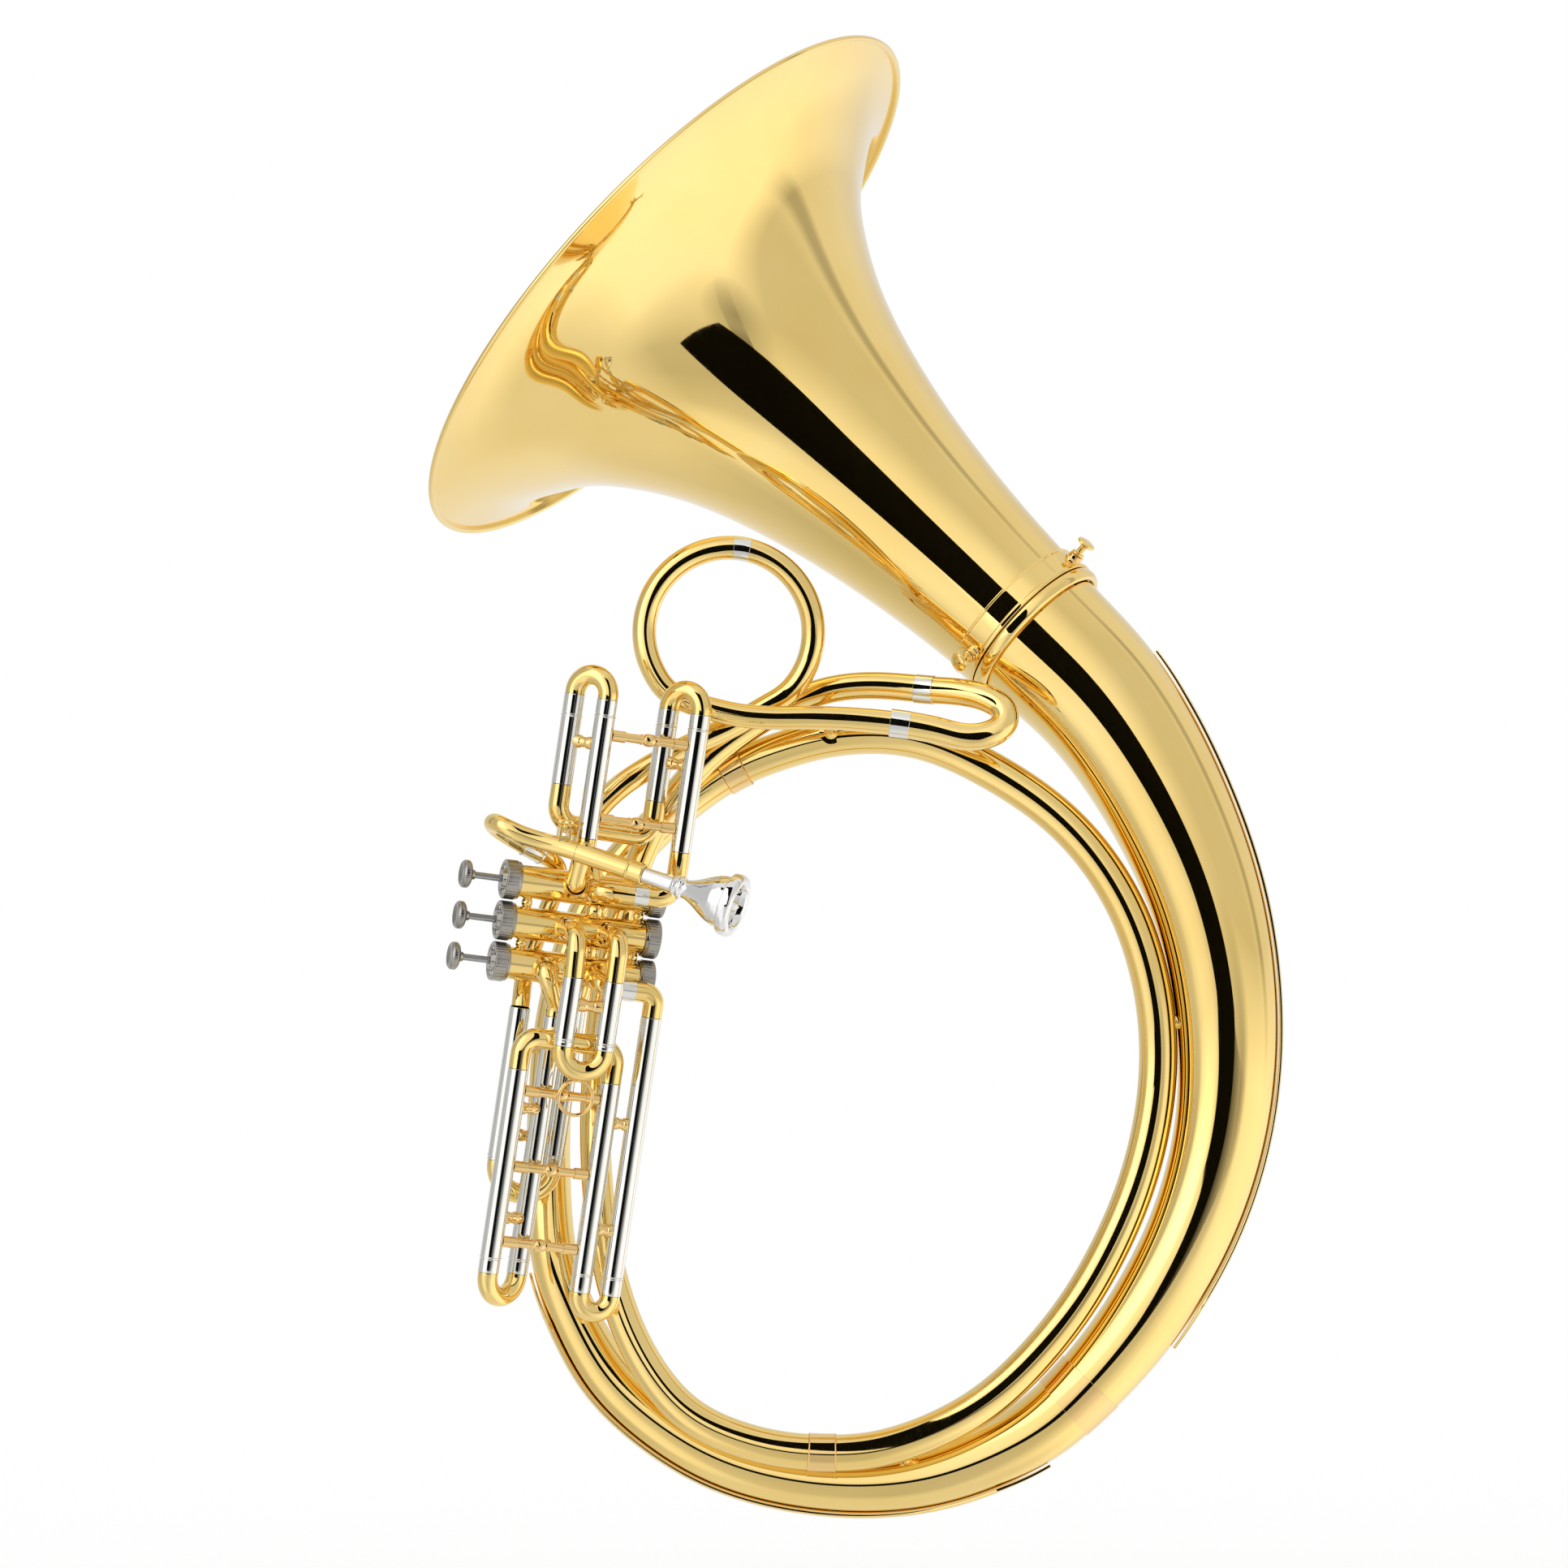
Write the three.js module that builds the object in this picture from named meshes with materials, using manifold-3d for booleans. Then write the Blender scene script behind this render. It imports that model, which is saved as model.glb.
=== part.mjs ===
// Marching horn in F, worn over the shoulder. Millimetres, +Z up, the front faces -Y and the
// origin is where the crown of the inner loop rests on the shoulder.
// The air runs from the mouthpiece through the leadpipe, the main tuning slide, valves 3, 2 and 1,
// the coil, the crook, twice round the body and out of the bell.
import * as THREE from 'three';
import Module from 'manifold-3d';
import { mergeVertices } from 'three/addons/utils/BufferGeometryUtils.js';

const wasm = await Module();
wasm.setup();

// Overall size, clearances and walls
const hornHeight = 921;
const bowRadiusShare = 0.04995;
const bowRadius = hornHeight * bowRadiusShare;
const gap = 0.3;
const overrun = 6;
const weld = 0.001;
const slack = 0.01;
const mainWall = 0.9;
const smallWall = 0.7;

// Faces round a tube, and steps along a bend or a span of a route
const bodySides = 12;
const tubeSides = 8;
const rodSides = 6;
const bendSteps = 3;
const spanSteps = 1;
const probeRows = 0.05;
const spareRows = 0.3;
const squareSides = 4;

// Bell and its collar
const bellLength = 315;
const bellRimRadius = 204.8;
const bellStep = 2.2;
const bellEndRadius = bowRadius + bellStep;
const bellWall = 0.8;
const bellSides = 24;
const rimWireRadius = 1.9;
const rimFirstTurn = -0.75;
const rimTurnSpan = 1.45;
const rimPoints = 4;
const bellTiltDegrees = 15.5;
const bellTurnDegrees = 43.6;
const collarLength = 17;
const collarWall = 1.7;
const collarClearance = 0.9;
const collarRelief = 1.4;
const collarFlange = 1.6;
const collarFlangeLength = 2.4;
const bowRingRise = 5.5;
const bowRingRadius = bowRadius + bowRingRise;
const bowRingLength = 5.5;
const ringEase = 1.4;
const lipWall = 0.4;
const spigotLength = 11;
const screwCount = 3;
const screwFirstDegrees = 17;
const screwStemRadius = 2.6;
const screwHeadRadius = 6.2;
const screwHeadThickness = 3;
const screwShoulderRadius = 4.4;
const screwTipRise = 0.7;
const screwShoulderRise = 6.8;
const screwHeadRise = 15.8;
const screwTipHeight = bellEndRadius + screwTipRise;
const screwShoulderHeight = bellEndRadius + screwShoulderRise;
const screwHeadHeight = bellEndRadius + screwHeadRise;
const screwEdgeShare = 0.25;

// Ferrules, posts and guards of the two loops
const ferruleWall = 1.1;
const seam = gap / 2;
const topFerruleLength = 14;
const bottomFerruleLength = 17;
const bowFerruleLength = 24;
const coilFerruleLength = 10;
const crookFerruleLength = 12;
const loopPostRadius = 3.2;
const postReachRows = 1.6;
const guardThickness = 2.2;
const guardHalfWidth = 7;

// Valves, measured along the piston from the middle of the casing, from buttons to bottom caps
const valveTurnDegrees = 16.15;
const valveLeanDegrees = 7.2;
const valveRollDegrees = 5.7;
const valveLength = 100;
const valvePitchShare = 0.253;
const valvePitch = valveLength * valvePitchShare;
const valveSetShares = [-0.195, -0.0505, -0.117];
const casingRadiusShare = 0.1;
const casingRadius = valveLength * casingRadiusShare;
const casingWall = 1.3;
const casingTopShare = -0.5;
const casingTop = valveLength * casingTopShare;
const casingBottomShare = 0.47;
const casingBottom = valveLength * casingBottomShare;
const casingSides = 12;
const capRise = 2;
const capRadius = casingRadius + capRise;
const capSkirt = 7.5;
const capPlate = 2.2;
const capEdge = 0.6;
const capHubRadius = 6;
const capHubHeight = 1.5;
const pistonClearance = 0.3;
const pistonInset = 3;
const pistonTop = casingTop + pistonInset;
const pistonBottomShare = 0.22;
const pistonBottom = valveLength * pistonBottomShare;
const pistonStroke = 15;
const stemRadius = 1.7;
const buttonRadius = 8.5;
const buttonRise = 29;
const buttonTop = casingTop - buttonRise;
const buttonThickness = 4.5;
const buttonHubRadius = 3.6;
const buttonHubLength = 3.2;
const springWire = 0.6;
const springInset = 2.5;
const springRadius = casingRadius - casingWall - springInset;
const springTurns = 4;
const turnSteps = 5;
const portRadius = 4.9;
const passageRadius = 4;
const crossoverRadius = 5.7;
const crossoverShare = 0.08;
const crossoverPlace = valveLength * crossoverShare;
const airEntryShares = [crossoverShare, crossoverShare, 0.06];
const airExitShares = [0.03, crossoverShare, crossoverShare];
const balusterRadius = 2.2;
const balusterBallRadius = 3.4;
const balusterShares = [-0.355, 0.355];

// Slide tubing: outer legs, inner tubes, bows and braces
const legRadius = 6.4;
const legWall = 0.6;
const innerTubeRadius = 5.4;
const innerTubeWall = 0.7;
const knuckleRadius = 5.9;
const slideBowRadius = 6.2;
const kneeRadius = 12;
const wideKneeRadius = 19;
const legCollarLength = 11;
const legCollarRise = 0.7;
const step = 0.5;
const beadHeight = 0.9;
const beadLength = 1.8;
const bowShoulder = 1.5;
const arcSteps = 5;
const insertShare = 0.74;
const stubRadius = 3;
const braceRadius = 2.2;
const braceBallRadius = 3.7;
const ringRadiusShare = 0.107;
const ringRadius = valveLength * ringRadiusShare;
const ringWire = 1.2;
const ringSteps = 16;
const ringSides = 5;

// Leadpipe, receiver, mouthpiece and lyre socket
const leadpipeRadius = 5.6;
const receiverRadius = 6.2;
const receiverBore = 5.1;
const receiverMouthRadius = 7;
const receiverMouthLength = 4;
const receiverBack = 8;
const receiverFront = 36.4;
const receiverLead = 4.8;
const mouthpieceShow = 63.5;
const mouthpieceLength = 82;
const mouthpieceSides = 16;
const lyreWidth = 8;
const lyreHeight = 7;
const lyreHole = 4;
const lyreRise = 5;
const lyreScrewRadius = 1.5;
const lyreKnobRadius = 4.6;
const lyreKnobThickness = 2.8;
const lyreScrewRise = 2;
const lyreScrewDepth = 3.2;

// The body route runs from the crook through the inner end of the spiral to the bell collar.
// Each row is a place (right, away, up) as shares of the horn's height, and the outer radius of
// the tube there as a share of the bow's radius.
const bodyRouteShares = [
  [0.06, -0.019, 0.041, 0.187],
  [0.035, -0.0105, 0.043, 0.187],
  [0.007, -0.005, 0.046, 0.183],
  [-0.022, -0.001, 0.045, 0.18],
  [-0.049, 0.001, 0.037, 0.18],
  [-0.074, -0.0005, 0.023, 0.18],
  [-0.1, -0.004, 0.006, 0.183],
  [-0.125, -0.0076, -0.018, 0.185],
  [-0.145, -0.011, -0.047, 0.187],
  [-0.161, -0.0125, -0.085, 0.189],
  [-0.173, -0.013, -0.128, 0.191],
  [-0.181, -0.015, -0.174, 0.196],
  [-0.185, -0.018, -0.229, 0.202],
  [-0.184, -0.0235, -0.283, 0.209],
  [-0.176, -0.0255, -0.343, 0.217],
  [-0.157, -0.0275, -0.397, 0.228],
  [-0.124, -0.0285, -0.44, 0.237],
  [-0.075, -0.0285, -0.461, 0.243],
  [-0.034, -0.028, -0.466, 0.248],
  [0.008, -0.0265, -0.463, 0.25],
  [0.072, -0.0225, -0.435, 0.252],
  [0.126, -0.015, -0.382, 0.254],
  [0.159, -0.011, -0.329, 0.257],
  [0.181, -0.008, -0.273, 0.259],
  [0.191, -0.007, -0.213, 0.259],
  [0.187, -0.009, -0.156, 0.259],
  [0.168, -0.01, -0.099, 0.259],
  [0.133, -0.009, -0.05, 0.259],
  [0.083, -0.004, -0.013, 0.259],
  [0.028, 0, 0.0108, 0.259],
  [-0.024, 0.005, 0.0118, 0.261],
  [-0.062, 0.01, 0.002, 0.261],
  [-0.093, 0.014, -0.01, 0.263],
  [-0.123, 0.0157, -0.03, 0.27],
  [-0.155, 0.0163, -0.059, 0.274],
  [-0.183, 0.0163, -0.093, 0.278],
  [-0.201, 0.0152, -0.134, 0.283],
  [-0.212, 0.013, -0.181, 0.287],
  [-0.216, 0.008, -0.231, 0.291],
  [-0.217, 0.003, -0.283, 0.298],
  [-0.212, 0, -0.343, 0.315],
  [-0.194, 0.002, -0.388, 0.337],
  [-0.17, 0.0035, -0.424, 0.365],
  [-0.107, 0.0038, -0.469, 0.391],
  [-0.034, 0.0035, -0.487, 0.404],
  [0.039, 0.002, -0.483, 0.428],
  [0.106, 0, -0.455, 0.461],
  [0.137, 0, -0.429, 0.478],
  [0.178, 0, -0.381, 0.539],
  [0.214, 0, -0.317, 0.587],
  [0.234, 0, -0.248, 0.635],
  [0.237, 0, -0.173, 0.696],
  [0.223, 0.001, -0.096, 0.765],
  [0.189, 0.004, -0.017, 0.861],
  [0.153, 0.012, 0.038, 0.939],
  [0.111, 0.024, 0.08, 1],
  [0.092, 0.031, 0.099, 1.033],
];
// Rows of the body route where one piece ends and the next begins
const crookRow = 1;
const bottomFerruleRow = 18;
const topFerruleRow = 32;
const bowFerruleRow = 47;
const collarRow = 55;
const bottomPostRows = [19.3, 44.7];
const sidePostRows = [24.5, 51.1];
const guardUpperRows = [48, 54];
const guardLowerRows = [40, 46];
const bodyCentreShares = [0.003, 0, -0.223];

// The coil route runs from valve 1 round the coil and the crook to the start of the body route.
// Its first rows are shares of the valve's length in the valve set, the others as above.
const coilPortShares = [
  [0.03, 0, 0.3],
  [0.02, 0.005, 0.36],
  [-0.015, 0.06, 0.44],
];
const coilLeadShares = [
  [-0.193, -0.041, -0.058],
  [-0.186, -0.034, -0.04],
  [-0.17, -0.03, -0.023],
  [-0.146, -0.026, -0.007],
  [-0.119, -0.023, 0.007],
  [-0.095, -0.0205, 0.018],
  [-0.072, -0.019, 0.031],
];
const coilRadiusShare = 0.0565;
const coilCentreShares = [-0.096, 0.081];
const coilFirstDegrees = -46;
const coilLastDegrees = 226;
const coilFirstDepthShare = -0.019;
const coilLastDepthShare = -0.0345;
const coilTailShares = [
  [-0.096, -0.0365, 0.027],
  [-0.071, -0.0375, 0.024],
  [-0.041, -0.0385, 0.024],
  [-0.014, -0.039, 0.023],
  [0.018, -0.04, 0.02],
];
const crookShares = [
  [0.041, -0.041, 0.016],
  [0.062, -0.042, 0.011],
  [0.078, -0.042, 0.013],
  [0.088, -0.039, 0.02],
  [0.087, -0.0335, 0.03],
  [0.076, -0.0275, 0.037],
];
const coilTubeShare = 0.1587;
const coilTubeRadius = bowRadius * coilTubeShare;
const crookTubeShare = 0.1826;
const crookTubeRadius = bowRadius * crookTubeShare;
const coilSteps = 16;
const crookSteps = 1.5;
const coilTopSteps = 7.5;

// Leadpipe: its front and then its return behind the valves to the main tuning slide, as shares
// of the valve's length in the valve set. The receiver runs along its own line from one place.
const receiverPlaceShares = [-0.097, -0.345, 0.482];
const receiverLineShares = [0.829, -0.536, -0.156];
const leadpipeShares = [
  [-0.34, -0.2, 0.52],
  [-0.488, -0.16, 0.544],
  [-0.585, -0.14, 0.573],
  [-0.645, -0.04, 0.593],
  [-0.625, 0.05, 0.568],
  [-0.555, 0.09, 0.53],
  [-0.445, 0.09, 0.483],
  [-0.339, 0.09, 0.441],
  [-0.217, 0.125, 0.4],
  [-0.145, 0.165, 0.35],
  [-0.132, 0.175, 0.27],
  [-0.165, 0.175, 0.12],
  [-0.21, 0.175, -0.07],
  [-0.25, 0.168, -0.26],
  [-0.275, 0.115, -0.385],
  [-0.289, 0.04, -0.48],
  [-0.289, 0.04, -0.517],
];
const lyrePlaceShares = [-0.25, -0.242, 0.509];

// Tubes of the valve set, as shares of the valve's length: a leg is its place along the pistons,
// its place away from the front, the height of its fixed end and the height of its open end.
const legShares = {
  firstLeftLong: [-0.097, -0.22, 0.58, 1.34],
  firstLeftShort: [-0.263, -0.06, 0.88, 1.31],
  firstRightShort: [0.34, -0.06, 0.85, 1.32],
  firstRightLong: [0.5, -0.22, 0.57, 1.33],
  secondLeft: [-0.098, -0.38, -0.26, -0.65],
  secondRight: [0.16, -0.38, -0.26, -0.65],
  thirdLeftRear: [-0.099, -0.095, -0.54, -2.05],
  thirdLeftFront: [-0.318, -0.24, -0.87, -2.045],
  thirdRightFront: [0.273, -0.24, -0.89, -2.08],
  thirdRightRear: [0.468, -0.235, -0.46, -2.08],
  tuningLeft: [-0.289, 0.04, -0.52, -1.45],
  tuningRight: [0.059, 0.04, -0.475, -1.41],
};
// The outermost height of each slide's bow
const bowReachShares = {
  firstLeft: 1.63,
  firstRight: 1.61,
  second: -0.89,
  thirdLeft: -2.34,
  thirdRight: -2.36,
  tuning: -1.72,
};
const knuckleShares = {
  firstLeft: [
    [-0.097, -0.03, valvePitchShare],
    [-0.097, -0.11, 0.275],
    [-0.097, -0.22, 0.55],
    [-0.097, -0.22, 0.577],
  ],
  firstRight: [
    [0.04, -0.03, valvePitchShare],
    [0.04, -0.195, 0.27],
    [0.5, -0.22, 0.27],
    [0.5, -0.22, 0.567],
  ],
  secondLeft: [
    [-0.11, -0.03, 0],
    [-0.11, -0.38, 0.015],
    [-0.098, -0.38, -0.257],
  ],
  secondRight: [
    [0.156, -0.03, 0],
    [0.156, -0.38, 0.015],
    [0.16, -0.38, -0.257],
  ],
  thirdLeft: [
    [-0.21, -0.03, -valvePitchShare],
    [-0.21, -0.17, -0.27],
    [-0.099, -0.095, -0.47],
    [-0.099, -0.095, -0.537],
  ],
  thirdRight: [
    [0.12, -0.03, -valvePitchShare],
    [0.12, -0.235, -0.31],
    [0.468, -0.235, -0.31],
    [0.468, -0.235, -0.457],
  ],
  inlet: [
    [0.06, 0, -0.26],
    [0.06, 0, -0.37],
    [0.059, 0.04, -0.435],
    [0.059, 0.04, -0.472],
  ],
};
const linkShares = [
  [-0.263, -0.06, 0.877],
  [-0.263, -0.06, 0.635],
  [0.34, -0.06, 0.62],
  [0.34, -0.06, 0.847],
];
const arcShares = [
  [-0.318, -0.24, -0.867],
  [-0.318, -0.24, -0.67],
  [0.273, -0.24, -0.67],
  [0.273, -0.24, -0.887],
];
const stubHeightShares = {
  firstLeft: [1.153],
  firstRight: [1.093],
  second: [-0.424],
  thirdLeft: [-1.11, -1.79],
  thirdRight: [-1.13, -1.79],
  tuning: [-0.75, -1.3],
};
const firstBraceShares = [0.705, 1.22];
const thirdBraceShares = [-1.465, -1.93];
const ringPlaceShares = [0.075, -0.24, -1.03];
const ringArmRiseShare = 0.07;

// The bell's outside from the rim to the collar: distance along the axis, and height over the
// small end, as shares of the bell's length and of its flare.
const bellProfileShares = [
  [0.0083, 0.95],
  [0.019, 0.88],
  [0.0413, 0.781],
  [0.0816, 0.661],
  [0.131, 0.533],
  [0.174, 0.456],
  [0.25, 0.354],
  [0.319, 0.28],
  [0.388, 0.223],
  [0.456, 0.178],
  [0.589, 0.109],
  [0.722, 0.06],
  [0.854, 0.025],
  [1, 0],
];

// The mouthpiece from its rim to the end of its shank: distance as a share of its length, and
// radius as a share of the rim's radius, first outside and then back along the bore.
const rimRadius = 19.7;
const mouthpieceOutsideShares = [
  [0, 0.86],
  [0.012, 0.97],
  [0.035, 1],
  [0.06, 0.97],
  [0.075, 0.83],
  [0.16, 0.79],
  [0.28, 0.65],
  [0.37, 0.43],
  [0.43, 0.29],
  [0.47, 0.27],
  [0.475, 0.34],
  [0.49, 0.34],
  [0.495, 0.25],
  [1, 0.205],
];
const mouthpieceInsideShares = [
  [1, 0.165],
  [0.5, 0.1],
  [0.42, 0.1],
  [0.32, 0.24],
  [0.2, 0.52],
  [0.05, 0.63],
  [0.015, 0.7],
];

const materials = {
  lacqueredBrass: { color: 0xe6bd5c, roughness: 0.16, metalness: 1 },
  nickelSilver: { color: 0xd9d9d4, roughness: 0.15, metalness: 1 },
  darkNickel: { color: 0x86868a, roughness: 0.22, metalness: 1 },
  silverPlate: { color: 0xe6e8ec, roughness: 0.08, metalness: 1 },
  springSteel: { color: 0x8f9296, roughness: 0.35, metalness: 1 },
  pistonMetal: { color: 0xb9bcbe, roughness: 0.3, metalness: 1 },
};

const horn = new THREE.Group();

function add(name, geometry, material) {
  const flat = geometry.index ? geometry.toNonIndexed() : geometry;
  flat.computeVertexNormals();
  const mesh = new THREE.Mesh(flat, new THREE.MeshStandardMaterial(materials[material]));
  mesh.name = name;
  horn.add(mesh);
}

// Solids

function toSolid(geometry) {
  const bare = geometry.clone();
  bare.deleteAttribute('normal');
  bare.deleteAttribute('uv');
  const merged = mergeVertices(bare, weld);
  return new wasm.Manifold(new wasm.Mesh({
    numProp: 3,
    vertProperties: new Float32Array(merged.attributes.position.array),
    triVerts: new Uint32Array(merged.index.array),
  }));
}

function toGeometry(solid) {
  const mesh = solid.getMesh();
  const geometry = new THREE.BufferGeometry();
  geometry.setAttribute('position', new THREE.BufferAttribute(mesh.vertProperties, 3));
  geometry.setIndex(new THREE.BufferAttribute(mesh.triVerts, 1));
  return geometry;
}

function join(parts, cuts = []) {
  let solid = toSolid(parts[0]);
  for (const part of parts.slice(1)) solid = solid.add(toSolid(part));
  for (const tool of cuts) solid = solid.subtract(toSolid(tool));
  return toGeometry(solid.simplify(slack));
}

const valveOrigin = new THREE.Vector3(...valveSetShares).multiplyScalar(hornHeight);
const valveFacing = new THREE.Quaternion().setFromEuler(new THREE.Euler(
  THREE.MathUtils.degToRad(valveRollDegrees),
  THREE.MathUtils.degToRad(valveLeanDegrees),
  THREE.MathUtils.degToRad(valveTurnDegrees),
  'ZYX',
));

// A place in the valve set's own directions: along the pistons, away from the front, up the set
function inValves(x, y, z) {
  return new THREE.Vector3(x, y, z).applyQuaternion(valveFacing).add(valveOrigin);
}

function valvePlace(shares) {
  return inValves(shares[0] * valveLength, shares[1] * valveLength, shares[2] * valveLength);
}

function valveHeight(index) {
  return valvePitch * (1 - index);
}

function place(shares) {
  return new THREE.Vector3(shares[0], shares[1], shares[2]).multiplyScalar(hornHeight);
}

const depth = new THREE.Vector3(0, 1, 0);
const upward = new THREE.Vector3(0, 0, 1);

function frameAt(centre, along, towards) {
  const across = towards.clone().addScaledVector(along, -towards.dot(along)).normalize();
  return { centre, across, up: along.clone().cross(across) };
}

function alongPath(path, i) {
  return path[Math.min(i + 1, path.length - 1)].clone().sub(path[Math.max(i - 1, 0)]).normalize();
}

// Frames carried along a path without twist
function carriedFrames(path) {
  const frames = [];
  let towards = Math.abs(alongPath(path, 0).y) < Math.SQRT1_2 ? depth : upward;
  path.forEach((centre, i) => {
    const frame = frameAt(centre, alongPath(path, i), towards);
    towards = frame.across;
    frames.push(frame);
  });
  return frames;
}

// Frames that all lean on the depth direction, so that tubes inside one another line up
function leaningFrames(path) {
  return path.map((centre, i) => frameAt(centre, alongPath(path, i), depth));
}

function ringPoints(frame, radius, sides) {
  const points = [];
  for (let j = 0; j < sides; j++) {
    const angle = (j + 0.5) / sides * 2 * Math.PI;
    const point = frame.centre.clone();
    point.addScaledVector(frame.across, radius * Math.cos(angle));
    point.addScaledVector(frame.up, radius * Math.sin(angle));
    points.push(point);
  }
  return points;
}

// Joins rings of equally many points into one closed skin. With closed set, the last ring meets
// the first again, and otherwise both ends are filled.
function skin(rings, closed) {
  const sides = rings[0].length;
  const positions = [];
  const push = (...points) => points.forEach((p) => positions.push(p.x, p.y, p.z));
  const spans = closed ? rings.length : rings.length - 1;
  for (let i = 0; i < spans; i++) {
    const lower = rings[i];
    const upper = rings[(i + 1) % rings.length];
    for (let j = 0; j < sides; j++) {
      const k = (j + 1) % sides;
      push(lower[j], lower[k], upper[k]);
      push(lower[j], upper[k], upper[j]);
    }
  }
  if (!closed) {
    const first = rings[0];
    const last = rings[rings.length - 1];
    for (let j = 1; j < sides - 1; j++) {
      push(first[0], first[j + 1], first[j]);
      push(last[0], last[j], last[j + 1]);
    }
  }
  const geometry = new THREE.BufferGeometry();
  geometry.setAttribute('position', new THREE.Float32BufferAttribute(positions, 3));
  return geometry;
}

function radiusAt(radius, i) {
  return Array.isArray(radius) ? radius[i] : radius;
}

// A solid rod on frames. The radius is one number, or one for each frame.
function rodOn(frames, radius, sides) {
  return skin(frames.map((frame, i) => ringPoints(frame, radiusAt(radius, i), sides)), false);
}

// An open tube on frames, with its outside and its bore each one number or one for each frame
function pipeOn(frames, outside, bore, sides) {
  const outer = frames.map((frame, i) => ringPoints(frame, radiusAt(outside, i), sides));
  const inner = frames.map((frame, i) => ringPoints(frame, radiusAt(bore, i), sides));
  return skin([...outer, ...inner.reverse()], true);
}

function rod(path, radius, sides = rodSides) {
  return rodOn(carriedFrames(path), radius, sides);
}

function pipe(path, outside, bore, sides = tubeSides) {
  return pipeOn(carriedFrames(path), outside, bore, sides);
}

// Corners joined by straight runs and round knees
function kneed(corners, radius = kneeRadius, steps = bendSteps) {
  const points = [corners[0].clone()];
  for (let i = 1; i < corners.length - 1; i++) {
    const corner = corners[i];
    const back = corners[i - 1].clone().sub(corner);
    const on = corners[i + 1].clone().sub(corner);
    const half = back.angleTo(on) / 2;
    const reach = Math.min(radius / Math.tan(half), back.length() * 0.5, on.length() * 0.5);
    const bend = reach * Math.tan(half);
    const middle = back.clone().normalize().add(on.clone().normalize()).normalize();
    const centre = corner.clone().addScaledVector(middle, bend / Math.sin(half));
    const first = corner.clone().addScaledVector(back.normalize(), reach).sub(centre);
    const last = corner.clone().addScaledVector(on.normalize(), reach).sub(centre);
    const axis = first.clone().cross(last).normalize();
    const turn = first.angleTo(last);
    for (let k = 0; k <= steps; k++) {
      points.push(first.clone().applyAxisAngle(axis, turn * k / steps).add(centre));
    }
  }
  points.push(corners[corners.length - 1].clone());
  return points;
}

// The same path with both ends carried on in a straight line
function extended(path, length) {
  const start = path[0].clone().sub(path[1]).setLength(length).add(path[0]);
  const last = path.length - 1;
  const end = path[last].clone().sub(path[last - 1]).setLength(length).add(path[last]);
  return [start, ...path.slice(1, -1), end];
}

// A closed profile of [along, radius] pairs turned round an axis that starts at a place
function turned(profile, origin, direction, sides) {
  const points = profile.map(([along, radius]) => new THREE.Vector2(radius, along));
  if (THREE.ShapeUtils.area(points) < 0) points.reverse();
  points.push(points[0].clone());
  const geometry = new THREE.LatheGeometry(points, sides);
  const upright = new THREE.Vector3(0, 1, 0);
  const turn = new THREE.Quaternion().setFromUnitVectors(upright, direction.clone().normalize());
  geometry.applyQuaternion(turn);
  geometry.translate(origin.x, origin.y, origin.z);
  return geometry;
}

// A straight solid cylinder between two places
function bar(start, end, radius, sides = rodSides) {
  return rod([start, end], radius, sides);
}

// A route is a smooth line through its rows, with the tube's radius at each.
function makeRoute(points, radii) {
  const curve = new THREE.CatmullRomCurve3(points, false, 'centripetal');
  const last = points.length - 1;
  const at = (row) => curve.getPoint(THREE.MathUtils.clamp(row / last, 0, 1));
  return {
    last,
    at,
    radius: (row) => {
      const low = THREE.MathUtils.clamp(Math.floor(row), 0, last - 1);
      return radii[low] + (radii[low + 1] - radii[low]) * (row - low);
    },
    frame: (row) => frameAt(at(row), at(row + probeRows).sub(at(row - probeRows)).normalize(), depth),
  };
}

// The row reached after going a length along a route from a row
function rowAfter(route, row, length) {
  const speed = route.at(row + probeRows).distanceTo(route.at(row - probeRows)) / (2 * probeRows);
  const ends = row < probeRows || row > route.last - probeRows ? 2 : 1;
  return row + length / (speed * ends);
}

// Rows spaced evenly on the route's own grid, between two others
function spanRows(fromRow, toRow, stepsPerRow = spanSteps) {
  const rows = [fromRow];
  const spare = spareRows / stepsPerRow;
  for (let k = Math.ceil(fromRow * stepsPerRow); k / stepsPerRow < toRow; k++) {
    const row = k / stepsPerRow;
    if (row - fromRow > spare && toRow - row > spare) rows.push(row);
  }
  rows.push(toRow);
  return rows;
}

// Rows of a piece that stops short of both joints, with a row where each joint's sleeve ends
function pieceRows(route, fromRow, toRow, sleeves, stepsPerRow = spanSteps) {
  const first = rowAfter(route, fromRow, sleeves[0] / 2);
  const last = rowAfter(route, toRow, -sleeves[1] / 2);
  const inner = spanRows(first, last, stepsPerRow);
  return [rowAfter(route, fromRow, seam), ...inner, rowAfter(route, toRow, -seam)];
}

function routePipe(route, rows, wall, sides) {
  const outside = rows.map(route.radius);
  return pipeOn(rows.map(route.frame), outside, outside.map((radius) => radius - wall), sides);
}

function routeRod(route, rows, spare, sides) {
  return rodOn(rows.map(route.frame), rows.map((row) => route.radius(row) + spare), sides);
}

// A sleeve over a route, clear of the tube inside it
function routeSleeve(route, row, length, sides) {
  const rows = [rowAfter(route, row, -length / 2), row, rowAfter(route, row, length / 2)];
  const bore = rows.map((r) => route.radius(r) + gap);
  return pipeOn(rows.map(route.frame), bore.map((radius) => radius + ferruleWall), bore, sides);
}

// Body

const bodyRoute = makeRoute(bodyRouteShares.map(place), bodyRouteShares.map((row) => row[3] * bowRadius));

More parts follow.
